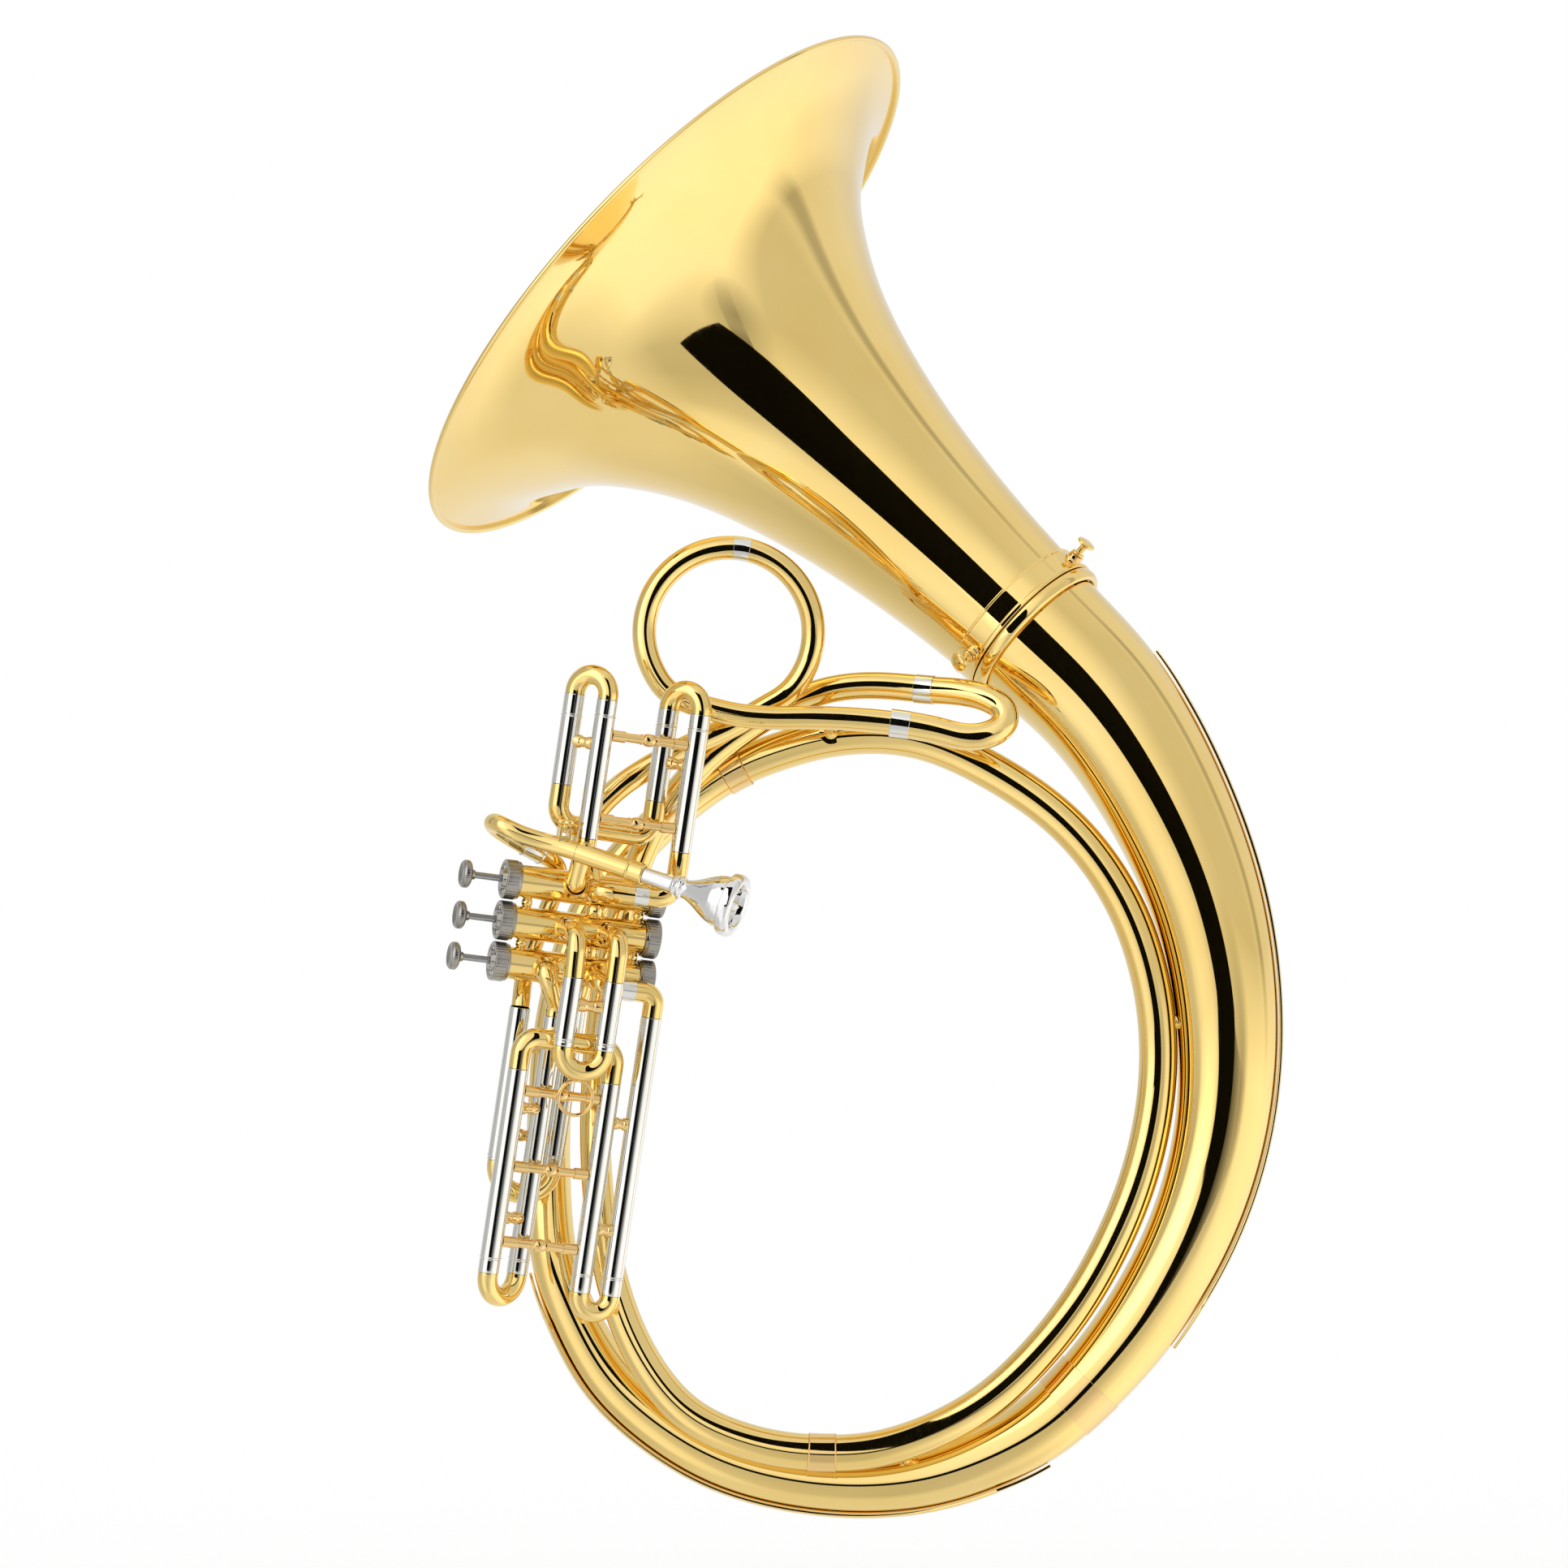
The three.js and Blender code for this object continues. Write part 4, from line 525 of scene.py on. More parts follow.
def post_between(near, far, radius, foot_radius):
    (near_middle, near_way, near_radius), (far_middle, far_way, far_radius) = near, far
    way = (far_middle - near_middle).normalized()
    start, end = near_middle + way * near_radius, far_middle - way * far_radius
    return post(start, end, radius, foot_radius, (near_way, near_radius), (far_way, far_radius))


LOOP_POST = 0.003
LOOP_FOOT = 0.0055
THIN_POST = 0.0027
POST_ROWS = {"loop_post_bottom": (19.3, 44.7), "loop_post_side": (24.5, 51.1)}
for name, (inner_row, outer_row) in POST_ROWS.items():
    ends = on_route(body_route, inner_row), on_route(body_route, outer_row)
    made = post_between(*ends, LOOP_POST, LOOP_FOOT)
    dress(made, name, brass)

# %% [markdown]
# From the first valve the tube runs up behind the slides, goes once round the small coil and comes
# back along the front to the crook, a tight bend that leads it into the body.

# %% The coil's route
COIL_PORT_SHARES = ((0.03, 0, 0.3), (0.02, 0.005, 0.36), (-0.015, 0.06, 0.44))
COIL_LEAD_SHARES = (
    (-0.193, -0.041, -0.058), (-0.186, -0.034, -0.04), (-0.17, -0.03, -0.023), (-0.146, -0.026, -0.007),
    (-0.119, -0.023, 0.007), (-0.095, -0.0205, 0.018), (-0.072, -0.019, 0.031),
)
COIL_RADIUS_SHARE = 0.0565
COIL_CENTRE_SHARES = (-0.096, 0.081)
COIL_ANGLES = (-46, 226)
COIL_DEPTH_SHARES = (-0.019, -0.0345)
COIL_STEPS = 16
COIL_TAIL_SHARES = (
    (-0.096, -0.0365, 0.027), (-0.071, -0.0375, 0.024), (-0.041, -0.0385, 0.024), (-0.014, -0.039, 0.023),
    (0.018, -0.04, 0.02),
)
CROOK_SHARES = (
    (0.041, -0.041, 0.016), (0.062, -0.042, 0.011), (0.078, -0.042, 0.013), (0.088, -0.039, 0.02),
    (0.087, -0.0335, 0.03), (0.076, -0.0275, 0.037),
)
COIL_TUBE = 0.0073
CROOK_TUBE = 0.0084
COIL_SOFTNESS = 0.004
SMALL_WALL = 0.0007
SMALL_STEP = 0.002


def coil_circle():
    points = []
    for k in range(COIL_STEPS + 1):
        share = k / COIL_STEPS
        angle = math.radians(COIL_ANGLES[0] + (COIL_ANGLES[1] - COIL_ANGLES[0]) * share)
        depth = COIL_DEPTH_SHARES[0] + (COIL_DEPTH_SHARES[1] - COIL_DEPTH_SHARES[0]) * share
        points.append(place((
            COIL_CENTRE_SHARES[0] + COIL_RADIUS_SHARE * math.cos(angle), depth,
            COIL_CENTRE_SHARES[1] + COIL_RADIUS_SHARE * math.sin(angle),
        )))
    return points


coil_points = [valve_place(row) for row in COIL_PORT_SHARES] + [place(row) for row in COIL_LEAD_SHARES]
circle_row = len(coil_points)
coil_points += coil_circle() + [place(row) for row in COIL_TAIL_SHARES + CROOK_SHARES]
crook_end_row = len(coil_points) + 1
coil_points += [place(row) for row in BODY_ROUTE_SHARES[:3]]
coil_top_row = circle_row + 7.5
tail_row = circle_row + COIL_STEPS + len(COIL_TAIL_SHARES)
coil_route = Route(coil_points, [COIL_TUBE] * len(coil_points), COIL_SOFTNESS)
crook_route = Route(coil_points, [CROOK_TUBE] * len(coil_points), COIL_SOFTNESS)
print("coil route", round(coil_route.even[-1], 3), "m")

# %% The coil, the crook and their nickel ferrules
for name, route, start_row, end_row in (
    ("coil_rear", coil_route, 0.15, coil_top_row),
    ("coil_front", coil_route, coil_top_row, tail_row),
    ("crook", crook_route, tail_row, crook_end_row),
):
    ends = route.length_at(start_row) + SEAM, route.length_at(end_row) - SEAM
    dress(tube(route.cut(*ends, SMALL_STEP), SMALL_WALL, 48), name, brass, nodes=[name])
for name, route, row, length, rise in (
    ("coil_ferrule", coil_route, coil_top_row, 0.01, 0.0002),
    ("crook_ferrule_front", crook_route, tail_row, 0.012, 0.0002),
    ("crook_ferrule_rear", crook_route, crook_end_row, 0.012, 0.0006),
):
    dress(band(route, route.length_at(row), length, rise, sides=48), name, nickel, nodes=[name])

# %% A post from the coil's tail to the loop behind it
COIL_POST_ROWS = (circle_row + COIL_STEPS + 3.5, 30.1)
COIL_FOOT = 0.0074
coil_end, loop_end = on_route(coil_route, COIL_POST_ROWS[0]), on_route(body_route, COIL_POST_ROWS[1])
coil_post = post_between(coil_end, loop_end, THIN_POST, COIL_FOOT)
dress(coil_post, "coil_post", brass)

# %% [markdown]
# The bell is spun from sheet over a wooden form. Its section is a line through a few heights that
# open faster and faster towards the rim, where the sheet is rolled over a wire.

# %% The bell's section
BELL_LENGTH = 0.315
RIM_RADIUS = 0.2048
BELL_END_RADIUS = 0.0482
BELL_WALL = 0.0008
BELL_SAMPLES = 120
BELL_SOFTNESS = 2.5
RIM_WIRE = 0.0019
RIM_FIRST_ANGLE, RIM_SWEEP, RIM_STEPS = -30, 300, 12
BELL_TILT = math.radians(15.5)
BELL_TURN = math.radians(43.6)
BOW_RING_LENGTH = 0.0055
SPIGOT_LENGTH = 0.011
BAND_START = BOW_RING_LENGTH + 2 * SEAM
BELL_START = BAND_START + SPIGOT_LENGTH + 2 * SEAM
BELL_PROFILE_SHARES = (
    (0.0083, 0.95), (0.019, 0.88), (0.0413, 0.781), (0.0816, 0.661), (0.131, 0.533), (0.174, 0.456),
    (0.25, 0.354), (0.319, 0.28), (0.388, 0.223), (0.456, 0.178), (0.589, 0.109), (0.722, 0.06),
    (0.854, 0.025), (1, 0),
)
level = math.cos(BELL_TILT)
bell_axis = Vector((-math.cos(BELL_TURN) * level, math.sin(BELL_TILT), math.sin(BELL_TURN) * level))
collar_origin = place(BODY_ROUTE_SHARES[COLLAR_ROW])


def bell_section():
    flare = RIM_RADIUS - BELL_END_RADIUS
    end = BELL_START + BELL_LENGTH
    rim = Vector((end - RIM_WIRE, RIM_RADIUS - RIM_WIRE, 0))
    places = [rim + Vector((RIM_WIRE * 0.2, -RIM_WIRE, 0))]
    places += [Vector((end - a * BELL_LENGTH, BELL_END_RADIUS + r * flare, 0)) for a, r in BELL_PROFILE_SHARES]
    samples, _ = spline_through(places)
    lengths = np.concatenate([[0], np.cumsum(np.linalg.norm(np.diff(samples, axis=0), axis=1))])
    even = np.linspace(0, lengths[-1], BELL_SAMPLES)
    line = np.stack([np.interp(even, lengths, samples[:, k]) for k in range(2)], 1)
    line = softened(line, BELL_SOFTNESS)
    slopes = np.gradient(line, axis=0)
    slopes /= np.linalg.norm(slopes, axis=1)[:, None]
    inside = line + np.stack([slopes[:, 1], -slopes[:, 0]], 1) * -BELL_WALL
    if inside[-1][1] > line[-1][1]:
        inside = line + np.stack([slopes[:, 1], -slopes[:, 0]], 1) * BELL_WALL
    wire = []
    for k in range(RIM_STEPS + 1):
        angle = math.radians(RIM_FIRST_ANGLE + RIM_SWEEP * k / RIM_STEPS)
        wire.append((rim.x + RIM_WIRE * math.cos(angle), rim.y + RIM_WIRE * math.sin(angle)))
    section = [tuple(p) for p in inside[::-1]] + wire[1:-1] + [tuple(p) for p in line]
    return section + section[:1]


bell = turned(bell_section(), collar_origin, bell_axis, 160)
dress(bell, "bell", brass, "bell", ["bell"])

# %% [markdown]
# The bell comes off. Its band slides over a ring on the bow, and three thumbscrews hold it. Each
# screw stands on a small boss and has a mushroom head.

# %% The collar
COLLAR_WALL = 0.0017
COLLAR_CLEARANCE = 0.0009
COLLAR_LENGTH = 0.017
RING_RADIUS = 0.0515
spigot = BELL_END_RADIUS - COLLAR_WALL + 2 * SEAM
band_inside = spigot + 2 * SEAM
band_outside = BELL_END_RADIUS + COLLAR_WALL + 2 * SEAM
bow_ring_section = rounded([
    (-BOW_RING_LENGTH / 2, BOW_RADIUS + COLLAR_CLEARANCE), (-BOW_RING_LENGTH / 2, RING_RADIUS - COLLAR_WALL),
    (0, RING_RADIUS), (BOW_RING_LENGTH * 0.7, RING_RADIUS), (BOW_RING_LENGTH, RING_RADIUS - COLLAR_WALL / 2),
    (BOW_RING_LENGTH, spigot), (BOW_RING_LENGTH + SPIGOT_LENGTH, spigot),
    (BOW_RING_LENGTH + SPIGOT_LENGTH, spigot - COLLAR_WALL), (COLLAR_CLEARANCE, spigot - COLLAR_WALL),
    (COLLAR_CLEARANCE, BOW_RADIUS + COLLAR_CLEARANCE),
], 0.0014, 4)
dress(turned(bow_ring_section, collar_origin, bell_axis, 128), "bow_ring", brass, nodes=["bow_ring"])
FLANGE_LENGTH = 0.0028
FLANGE_RISE = 0.0016
LIP_LENGTH = 0.0016
LIP_RISE = 0.0008
band_end = BAND_START + COLLAR_LENGTH
band_section = rounded([
    (BAND_START, band_inside), (BAND_START, band_outside + FLANGE_RISE),
    (BAND_START + FLANGE_LENGTH, band_outside + FLANGE_RISE), (BAND_START + FLANGE_LENGTH, band_outside),
    (band_end - LIP_LENGTH, band_outside), (band_end - LIP_LENGTH, band_outside + LIP_RISE),
    (band_end, band_outside + LIP_RISE), (band_end, BELL_END_RADIUS + COLLAR_WALL / 2),
    (BELL_START - 2 * SEAM, BELL_END_RADIUS + COLLAR_WALL / 2), (BELL_START - 2 * SEAM, band_inside),
], 0.0009, 4)
collar = turned(band_section, collar_origin, bell_axis, 128)
dress(collar, "bell_ring", brass, "bell", ["bell_ring"])

# %% The three thumbscrews and their bosses
SCREW_FIRST_ANGLE = 17
SCREW_SETBACK = 0.0068
SCREW_TIP = 0.0489
SCREW_BOSS = 0.0046
SCREW_STEM = 0.0026
SCREW_HEAD = 0.0062
SCREW_TOP = 0.0655
SCREW_SHOULDER = 0.055


def screw_place(index):
    foot = collar_origin + bell_axis * (BAND_START + SCREW_SETBACK)
    sideways = Vector((0, 1, 0)) - bell_axis * bell_axis.y
    sideways.normalize()
    up = sideways.cross(bell_axis)
    if up.z < 0:
        up.negate()
    angle = math.radians(SCREW_FIRST_ANGLE + 120 * index)
    return foot, up * math.cos(angle) - sideways * math.sin(angle)


for index in range(3):
    foot, radial = screw_place(index)
    boss = turned(rounded([
        (band_outside - COLLAR_WALL, SCREW_STEM + SEAM), (band_outside - COLLAR_WALL, SCREW_BOSS * 1.25),
        (band_outside + 0.0008, SCREW_BOSS * 1.2), (band_outside + 0.0018, SCREW_BOSS),
        (SCREW_SHOULDER - 2 * SEAM, SCREW_BOSS), (SCREW_SHOULDER - 2 * SEAM, SCREW_STEM + SEAM),
    ], 0.0005), foot, radial, 48)
    dress(boss, f"collar_boss_{index + 1}", rose_brass, "bell")
    screw = turned(rounded([
        (SCREW_TIP, 0), (SCREW_TIP, SCREW_STEM), (SCREW_SHOULDER, SCREW_STEM), (SCREW_SHOULDER, SCREW_STEM * 1.6),
        (SCREW_SHOULDER + 0.0013, SCREW_STEM * 1.6), (SCREW_SHOULDER + 0.002, SCREW_STEM * 0.85),
        (SCREW_TOP - 0.0042, SCREW_STEM * 0.85), (SCREW_TOP - 0.0028, SCREW_HEAD * 0.8),
        (SCREW_TOP - 0.0022, SCREW_HEAD), (SCREW_TOP - 0.0008, SCREW_HEAD * 0.92),
        (SCREW_TOP, SCREW_HEAD * 0.5), (SCREW_TOP, 0),
    ], 0.0006, 4)[:-1], foot, radial, 48)
    name = f"collar_screw_{index + 1}"
    dress(screw, name, brass, name, [name])

# %% [markdown]
# Each valve is a casing with a cap at either end. The piston's stem comes out of the top cap and
# carries a finger button. The caps have a fine knurl so that fingers can turn them, and
# the top cap's face is fluted. Knurl and flutes are a wave round the axis, moved into the mesh.

# %% Sizes of a valve and a knurl
VALVE_PITCH = 0.0253
CASING_RADIUS = 0.01
CASING_WALL = 0.0013
CASING_TOP = -0.05
CASING_BOTTOM = 0.047
CAP_RADIUS = 0.012
CAP_BORE = CASING_RADIUS + 4 * SEAM
CAP_SKIRT = 0.0075
CAP_PLATE = 0.0022
HUB_RADIUS = 0.006
STEM_RADIUS = 0.0021
KNURL_COUNT = 40
KNURL_DEPTH = 0.00013
FLUTE_COUNT = 16
FLUTE_DEPTH = 0.0008


def valve_foot(index):
    return in_valves(0, 0, VALVE_PITCH * (1 - index))


def waved(piece, foot, axis, low, high, count, depth, radial):
    """Moves the points whose radius lies in a range in a wave round the axis, out or along it."""
    side = axis.orthogonal().normalized()
    other = axis.cross(side)
    for vertex in piece.data.vertices:
        offset = vertex.co - foot
        out = offset - axis * offset.dot(axis)
        if low < out.length < high:
            wave = math.cos(count * math.atan2(out.dot(other), out.dot(side)))
            vertex.co += (out.normalized() if radial else axis) * depth * wave
    return piece


# %% A cap: a skirt, a plate and, on the top caps, a hub for the stem
def cap(index, inside, way, hub):
    """way is 1 where the cap closes the casing's far end along the pistons, and -1 at its near end."""
    foot = valve_foot(index)
    face = inside + way * CAP_PLATE
    section = [
        (inside - way * CAP_SKIRT, CAP_BORE), (inside - way * CAP_SKIRT, CAP_RADIUS - 0.0004),
        (inside - way * (CAP_SKIRT - 0.0016), CAP_RADIUS - 0.0004), (inside - way * (CAP_SKIRT - 0.002), CAP_RADIUS),
        (face - way * 0.0004, CAP_RADIUS), (face, CAP_RADIUS - 0.0005), (face, CAP_RADIUS - 0.0022),
        (face - way * 0.0013, CAP_RADIUS - 0.003), (face - way * 0.0013, HUB_RADIUS + 0.0006),
        (face, HUB_RADIUS),
    ]
    if hub:
        section += [(face + way * 0.0015, HUB_RADIUS - 0.0006), (face + way * 0.0015, STEM_RADIUS + 2 * SEAM)]
        section += [(inside, STEM_RADIUS + 2 * SEAM)]
        ring = rounded(section + [(inside, CAP_BORE)], 0.0004)
    else:
        ring = rounded([(inside, 0), (inside, CAP_BORE)] + section + [(face, 0)], 0.0004)[:-1]
    piece = turned(ring, foot, piston_way, KNURL_COUNT * 4)
    waved(piece, foot, piston_way, CAP_RADIUS - 0.00025, CAP_RADIUS + 0.001, KNURL_COUNT, KNURL_DEPTH, True)
    return waved(piece, foot, piston_way, HUB_RADIUS + 0.0007, CAP_RADIUS - 0.0029, FLUTE_COUNT, FLUTE_DEPTH, False)


# %% Sections of the button, the piston and the casing
BUTTON_TOP = -0.079
BUTTON_RADIUS = 0.0085
BUTTON_THICKNESS = 0.0055
BUTTON_HUB = 0.0036
under = BUTTON_TOP + BUTTON_THICKNESS
button_section = rounded([
    (BUTTON_TOP + 0.0014, 0), (BUTTON_TOP + 0.0013, BUTTON_RADIUS * 0.42),
    (BUTTON_TOP + 0.0008, BUTTON_RADIUS * 0.48), (BUTTON_TOP + 0.0011, BUTTON_RADIUS * 0.56),
    (BUTTON_TOP + 0.0006, BUTTON_RADIUS * 0.7),
    (BUTTON_TOP, BUTTON_RADIUS * 0.78), (BUTTON_TOP, BUTTON_RADIUS * 0.88), (BUTTON_TOP + 0.0013, BUTTON_RADIUS),
    (under - 0.0013, BUTTON_RADIUS), (under, BUTTON_RADIUS - 0.0013), (under, BUTTON_HUB),
    (under + 0.003, BUTTON_HUB * 0.8), (under + 0.003, STEM_RADIUS + SEAM), (under - 0.0022, STEM_RADIUS + SEAM),
    (under - 0.0022, 0),
], 0.0005)[:-1]
PISTON_RADIUS = CASING_RADIUS - CASING_WALL - 2 * SEAM
PISTON_START, PISTON_END = -0.047, 0.022
stem_end = BUTTON_TOP + BUTTON_THICKNESS / 2 + SEAM
piston_section = rounded([
    (stem_end, 0), (stem_end, STEM_RADIUS), (PISTON_START, STEM_RADIUS), (PISTON_START, PISTON_RADIUS),
    (PISTON_END, PISTON_RADIUS), (PISTON_END, 0),
], 0.0004)[:-1]
casing_section = rounded([
    (CASING_TOP, CASING_RADIUS - CASING_WALL), (CASING_TOP, CASING_RADIUS), (CASING_BOTTOM, CASING_RADIUS),
    (CASING_BOTTOM, CASING_RADIUS - CASING_WALL),
], 0.0003)
print("valve sections", len(button_section), len(piston_section), len(casing_section), "points")

# %% The three valves
for index in range(3):
    number, foot = index + 1, valve_foot(index)
    casing = turned(casing_section, foot, piston_way)
    top_cap = cap(index, CASING_TOP - 2 * SEAM, -1, True)
    bottom_cap = cap(index, CASING_BOTTOM + 2 * SEAM, 1, False)
    for piece, kind, finish in (
        (casing, "valve_casing", brass), (top_cap, "top_cap", dark_nickel), (bottom_cap, "bottom_cap", dark_nickel),
    ):
        dress(piece, f"{kind}_{number}", finish, nodes=[f"{kind}_{number}"])
    body = f"piston_{number}"
    button = waved(
        turned(button_section, foot, piston_way, KNURL_COUNT * 4), foot, piston_way,
        BUTTON_RADIUS - 0.0002, BUTTON_RADIUS + 0.001, KNURL_COUNT, KNURL_DEPTH * 0.7, True,
    )
    dress(button, f"button_{number}", dark_nickel, body, [f"button_{number}"])
    dress(turned(piston_section, foot, piston_way, 48), body, steel, body, [body])

# %% [markdown]
# Between the casings sit a short crossover tube for the air and turned balusters with a ball in
# the middle, which hold the three valves at their spacing.

# %% Crossovers and balusters
CROSSOVER_PLACE = 0.008
CROSSOVER_RADIUS = 0.0057
BALUSTER_PLACES = (-0.0355, 0.0355)
BALUSTER_RADIUS = 0.0022
BALL_RADIUS = 0.0034
REST_DEPTH = 0.0012


def baluster_section(length, radius, ball):
    middle = length / 2
    spots = [(0, 0), (0, radius * 1.45), (REST_DEPTH, radius * 1.3), (REST_DEPTH * 1.5, radius)]
    arc = []
    for k in range(9):
        angle = math.pi * k / 8
        arc.append((middle - ball * 0.8 * math.cos(angle), radius * 0.9 + (ball - radius * 0.9) * math.sin(angle)))
    return spots + arc + [(length - a, r) for a, r in reversed(spots)]


length = VALVE_PITCH - 2 * CASING_RADIUS + 2 * REST_DEPTH
baluster = baluster_section(length, BALUSTER_RADIUS, BALL_RADIUS)
crossover = baluster_section(length, CROSSOVER_RADIUS * 0.85, CROSSOVER_RADIUS)
for index in range(2):
    height = VALVE_PITCH * (1 - index) - CASING_RADIUS + REST_DEPTH
    for letter, along in zip("ab", BALUSTER_PLACES):
        made = turned(baluster, in_valves(along, 0, height), -up_way, 32)
        dress(made, f"baluster_{index + 1}{letter}", brass)
    made = turned(crossover, in_valves(CROSSOVER_PLACE, 0, height), -up_way, 40)
    dress(made, f"crossover_{index + 1}", brass)

# %% [markdown]
# The tubes at the valves are straight runs with round knees. A knee is an arc whose ends meet the
# two straight runs, so the path is worked out from its corners alone.

# %% Straight runs with round knees
KNEE_RADIUS = 0.012
WIDE_KNEE_RADIUS = 0.019
KNEE_STEPS = 12
KNUCKLE_RADIUS = 0.0063


def kneed(corners, radius=KNEE_RADIUS):
    points = [corners[0].copy()]
    for before, corner, after in zip(corners, corners[1:], corners[2:]):
        back, on = before - corner, after - corner
        half = back.angle(on) / 2
        reach = min(radius / math.tan(half), back.length * 0.5, on.length * 0.5)
        bend = reach * math.tan(half)
        centre = corner + (back.normalized() + on.normalized()).normalized() * (bend / math.sin(half))
        first = corner + back.normalized() * reach - centre
        last = corner + on.normalized() * reach - centre
        axis, turn = first.cross(last).normalized(), first.angle(last)
        points += [Matrix.Rotation(turn * k / KNEE_STEPS, 3, axis) @ first + centre for k in range(KNEE_STEPS + 1)]
    return points + [corners[-1].copy()]


def even_tube(points, radius, wall=SMALL_WALL, sides=40):
    return tube([(*point, radius) for point in points], wall, sides)


KNUCKLE_SHARES = {
    "knuckle_1": ((-0.097, -0.03, 0.253), (-0.097, -0.11, 0.275), (-0.097, -0.22, 0.55), (-0.097, -0.22, 0.577)),
    "slide_1_elbow": ((0.04, -0.03, 0.253), (0.04, -0.195, 0.27), (0.5, -0.22, 0.27), (0.5, -0.22, 0.567)),
    "knuckle_2_left": ((-0.11, -0.03, 0), (-0.11, -0.38, 0.015), (-0.098, -0.38, -0.257)),
    "knuckle_2_right": ((0.156, -0.03, 0), (0.156, -0.38, 0.015), (0.16, -0.38, -0.257)),
    "knuckle_3": ((-0.21, -0.03, -0.253), (-0.21, -0.17, -0.27), (-0.099, -0.095, -0.47), (-0.099, -0.095, -0.537)),
    "slide_3_elbow": ((0.12, -0.03, -0.253), (0.12, -0.235, -0.31), (0.468, -0.235, -0.31), (0.468, -0.235, -0.457)),
    "inlet_knuckle": ((0.06, 0, -0.26), (0.06, 0, -0.37), (0.059, 0.04, -0.435), (0.059, 0.04, -0.472)),
}
NODE_OF_ELBOW = {"slide_1_elbow", "slide_3_elbow"}
for name, shares in KNUCKLE_SHARES.items():
    path = kneed([valve_place(row) for row in shares])
    dress(even_tube(path, KNUCKLE_RADIUS), name, brass, nodes=[name] if name in NODE_OF_ELBOW else ())

# %% Collars where the knuckles leave the casings
FOOT_LENGTH = 0.0034
FOOT_SINK = 0.0012
foot_section = rounded([
    (-FOOT_SINK, KNUCKLE_RADIUS - SEAM), (-FOOT_SINK, KNUCKLE_RADIUS + 0.0013),
    (FOOT_SINK / 2, KNUCKLE_RADIUS + 0.0011), (FOOT_LENGTH * 0.6, KNUCKLE_RADIUS + 0.0006),
    (FOOT_LENGTH, KNUCKLE_RADIUS + 0.0004), (FOOT_LENGTH, KNUCKLE_RADIUS - SEAM),
], 0.0003, 2)
for name, shares in KNUCKLE_SHARES.items():
    first, second = valve_place(shares[0]), valve_place(shares[1])
    way = (second - first).normalized()
    if way.dot(away_way) < 0:
        axis_place = in_valves(0, 0, shares[0][2] * VALVE_LENGTH)
        face = first + way * (CASING_RADIUS - (first - axis_place).dot(-away_way))
        collar_foot = turned(foot_section, face, way, 40)
        seated(collar_foot, face, way, piston_way, CASING_RADIUS, FOOT_LENGTH * 0.7)
        dress(collar_foot, f"{name}_foot", brass)

# %% The link and the arc that join the slides' halves
LINK_SHARES = ((-0.263, -0.06, 0.877), (-0.263, -0.06, 0.635), (0.34, -0.06, 0.62), (0.34, -0.06, 0.847))
ARC_SHARES = ((-0.318, -0.24, -0.867), (-0.318, -0.24, -0.67), (0.273, -0.24, -0.67), (0.273, -0.24, -0.887))
for name, shares in (("slide_1_link", LINK_SHARES), ("slide_3_arc", ARC_SHARES)):
    path = kneed([valve_place(row) for row in shares], WIDE_KNEE_RADIUS)
    dress(even_tube(path, KNUCKLE_RADIUS), name, brass, nodes=[name])

# %% Nickel ferrules on the two elbows
ELBOW_FERRULES = {"elbow_ferrule_1": (0.29, -0.2075, 0.27), "elbow_ferrule_3": (0.29, -0.235, -0.31)}
ELBOW_FERRULE_LENGTH = 0.009
ELBOW_FERRULE_RISE = 0.0005
for name, shares in ELBOW_FERRULES.items():
    half = ELBOW_FERRULE_LENGTH / 2 * piston_way
    spots = [valve_place(shares) + half * count for count in (-2, -1, 0, 1, 2)]
    run = Route(spots, [KNUCKLE_RADIUS] * len(spots), 0)
    sleeve = band(run, run.even[-1] / 2, ELBOW_FERRULE_LENGTH, ELBOW_FERRULE_RISE, sides=40)
    dress(sleeve, name, nickel)

# %% [markdown]
# A slide is a pair of nickel legs and a bow. The bow's nickel inner tubes run deep into the legs,
# and its bend is brass. A thin bead ring stiffens the open end of each leg.

# %% Legs of the slides
LEG_RADIUS = 0.0064
LEG_WALL = 0.0006
LEG_BEAD = 0.00045
LEG_SHARES = {
    "firstLeftLong": (-0.097, -0.22, 0.58, 1.34), "firstLeftShort": (-0.263, -0.06, 0.88, 1.31),
    "firstRightShort": (0.34, -0.06, 0.85, 1.32), "firstRightLong": (0.5, -0.22, 0.57, 1.33),
    "secondLeft": (-0.098, -0.38, -0.26, -0.65), "secondRight": (0.16, -0.38, -0.26, -0.65),
    "thirdLeftRear": (-0.099, -0.095, -0.54, -2.05), "thirdLeftFront": (-0.318, -0.24, -0.87, -2.045),
    "thirdRightFront": (0.273, -0.24, -0.89, -2.08), "thirdRightRear": (0.468, -0.235, -0.46, -2.08),
    "tuningLeft": (-0.289, 0.04, -0.52, -1.45), "tuningRight": (0.059, 0.04, -0.475, -1.41),
}
SLIDES = {
    "slide_1_left": ("firstLeftLong", "firstLeftShort", 1.63, (1.153,)),
    "slide_1_right": ("firstRightLong", "firstRightShort", 1.61, (1.093,)),
    "slide_2": ("secondLeft", "secondRight", -0.89, (-0.424,)),
    "slide_3_left": ("thirdLeftFront", "thirdLeftRear", -2.34, (-1.11, -1.79)),
    "slide_3_right": ("thirdRightFront", "thirdRightRear", -2.36, (-1.13, -1.79)),
    "tuning": ("tuningLeft", "tuningRight", -1.72, (-0.75, -1.3)),
}


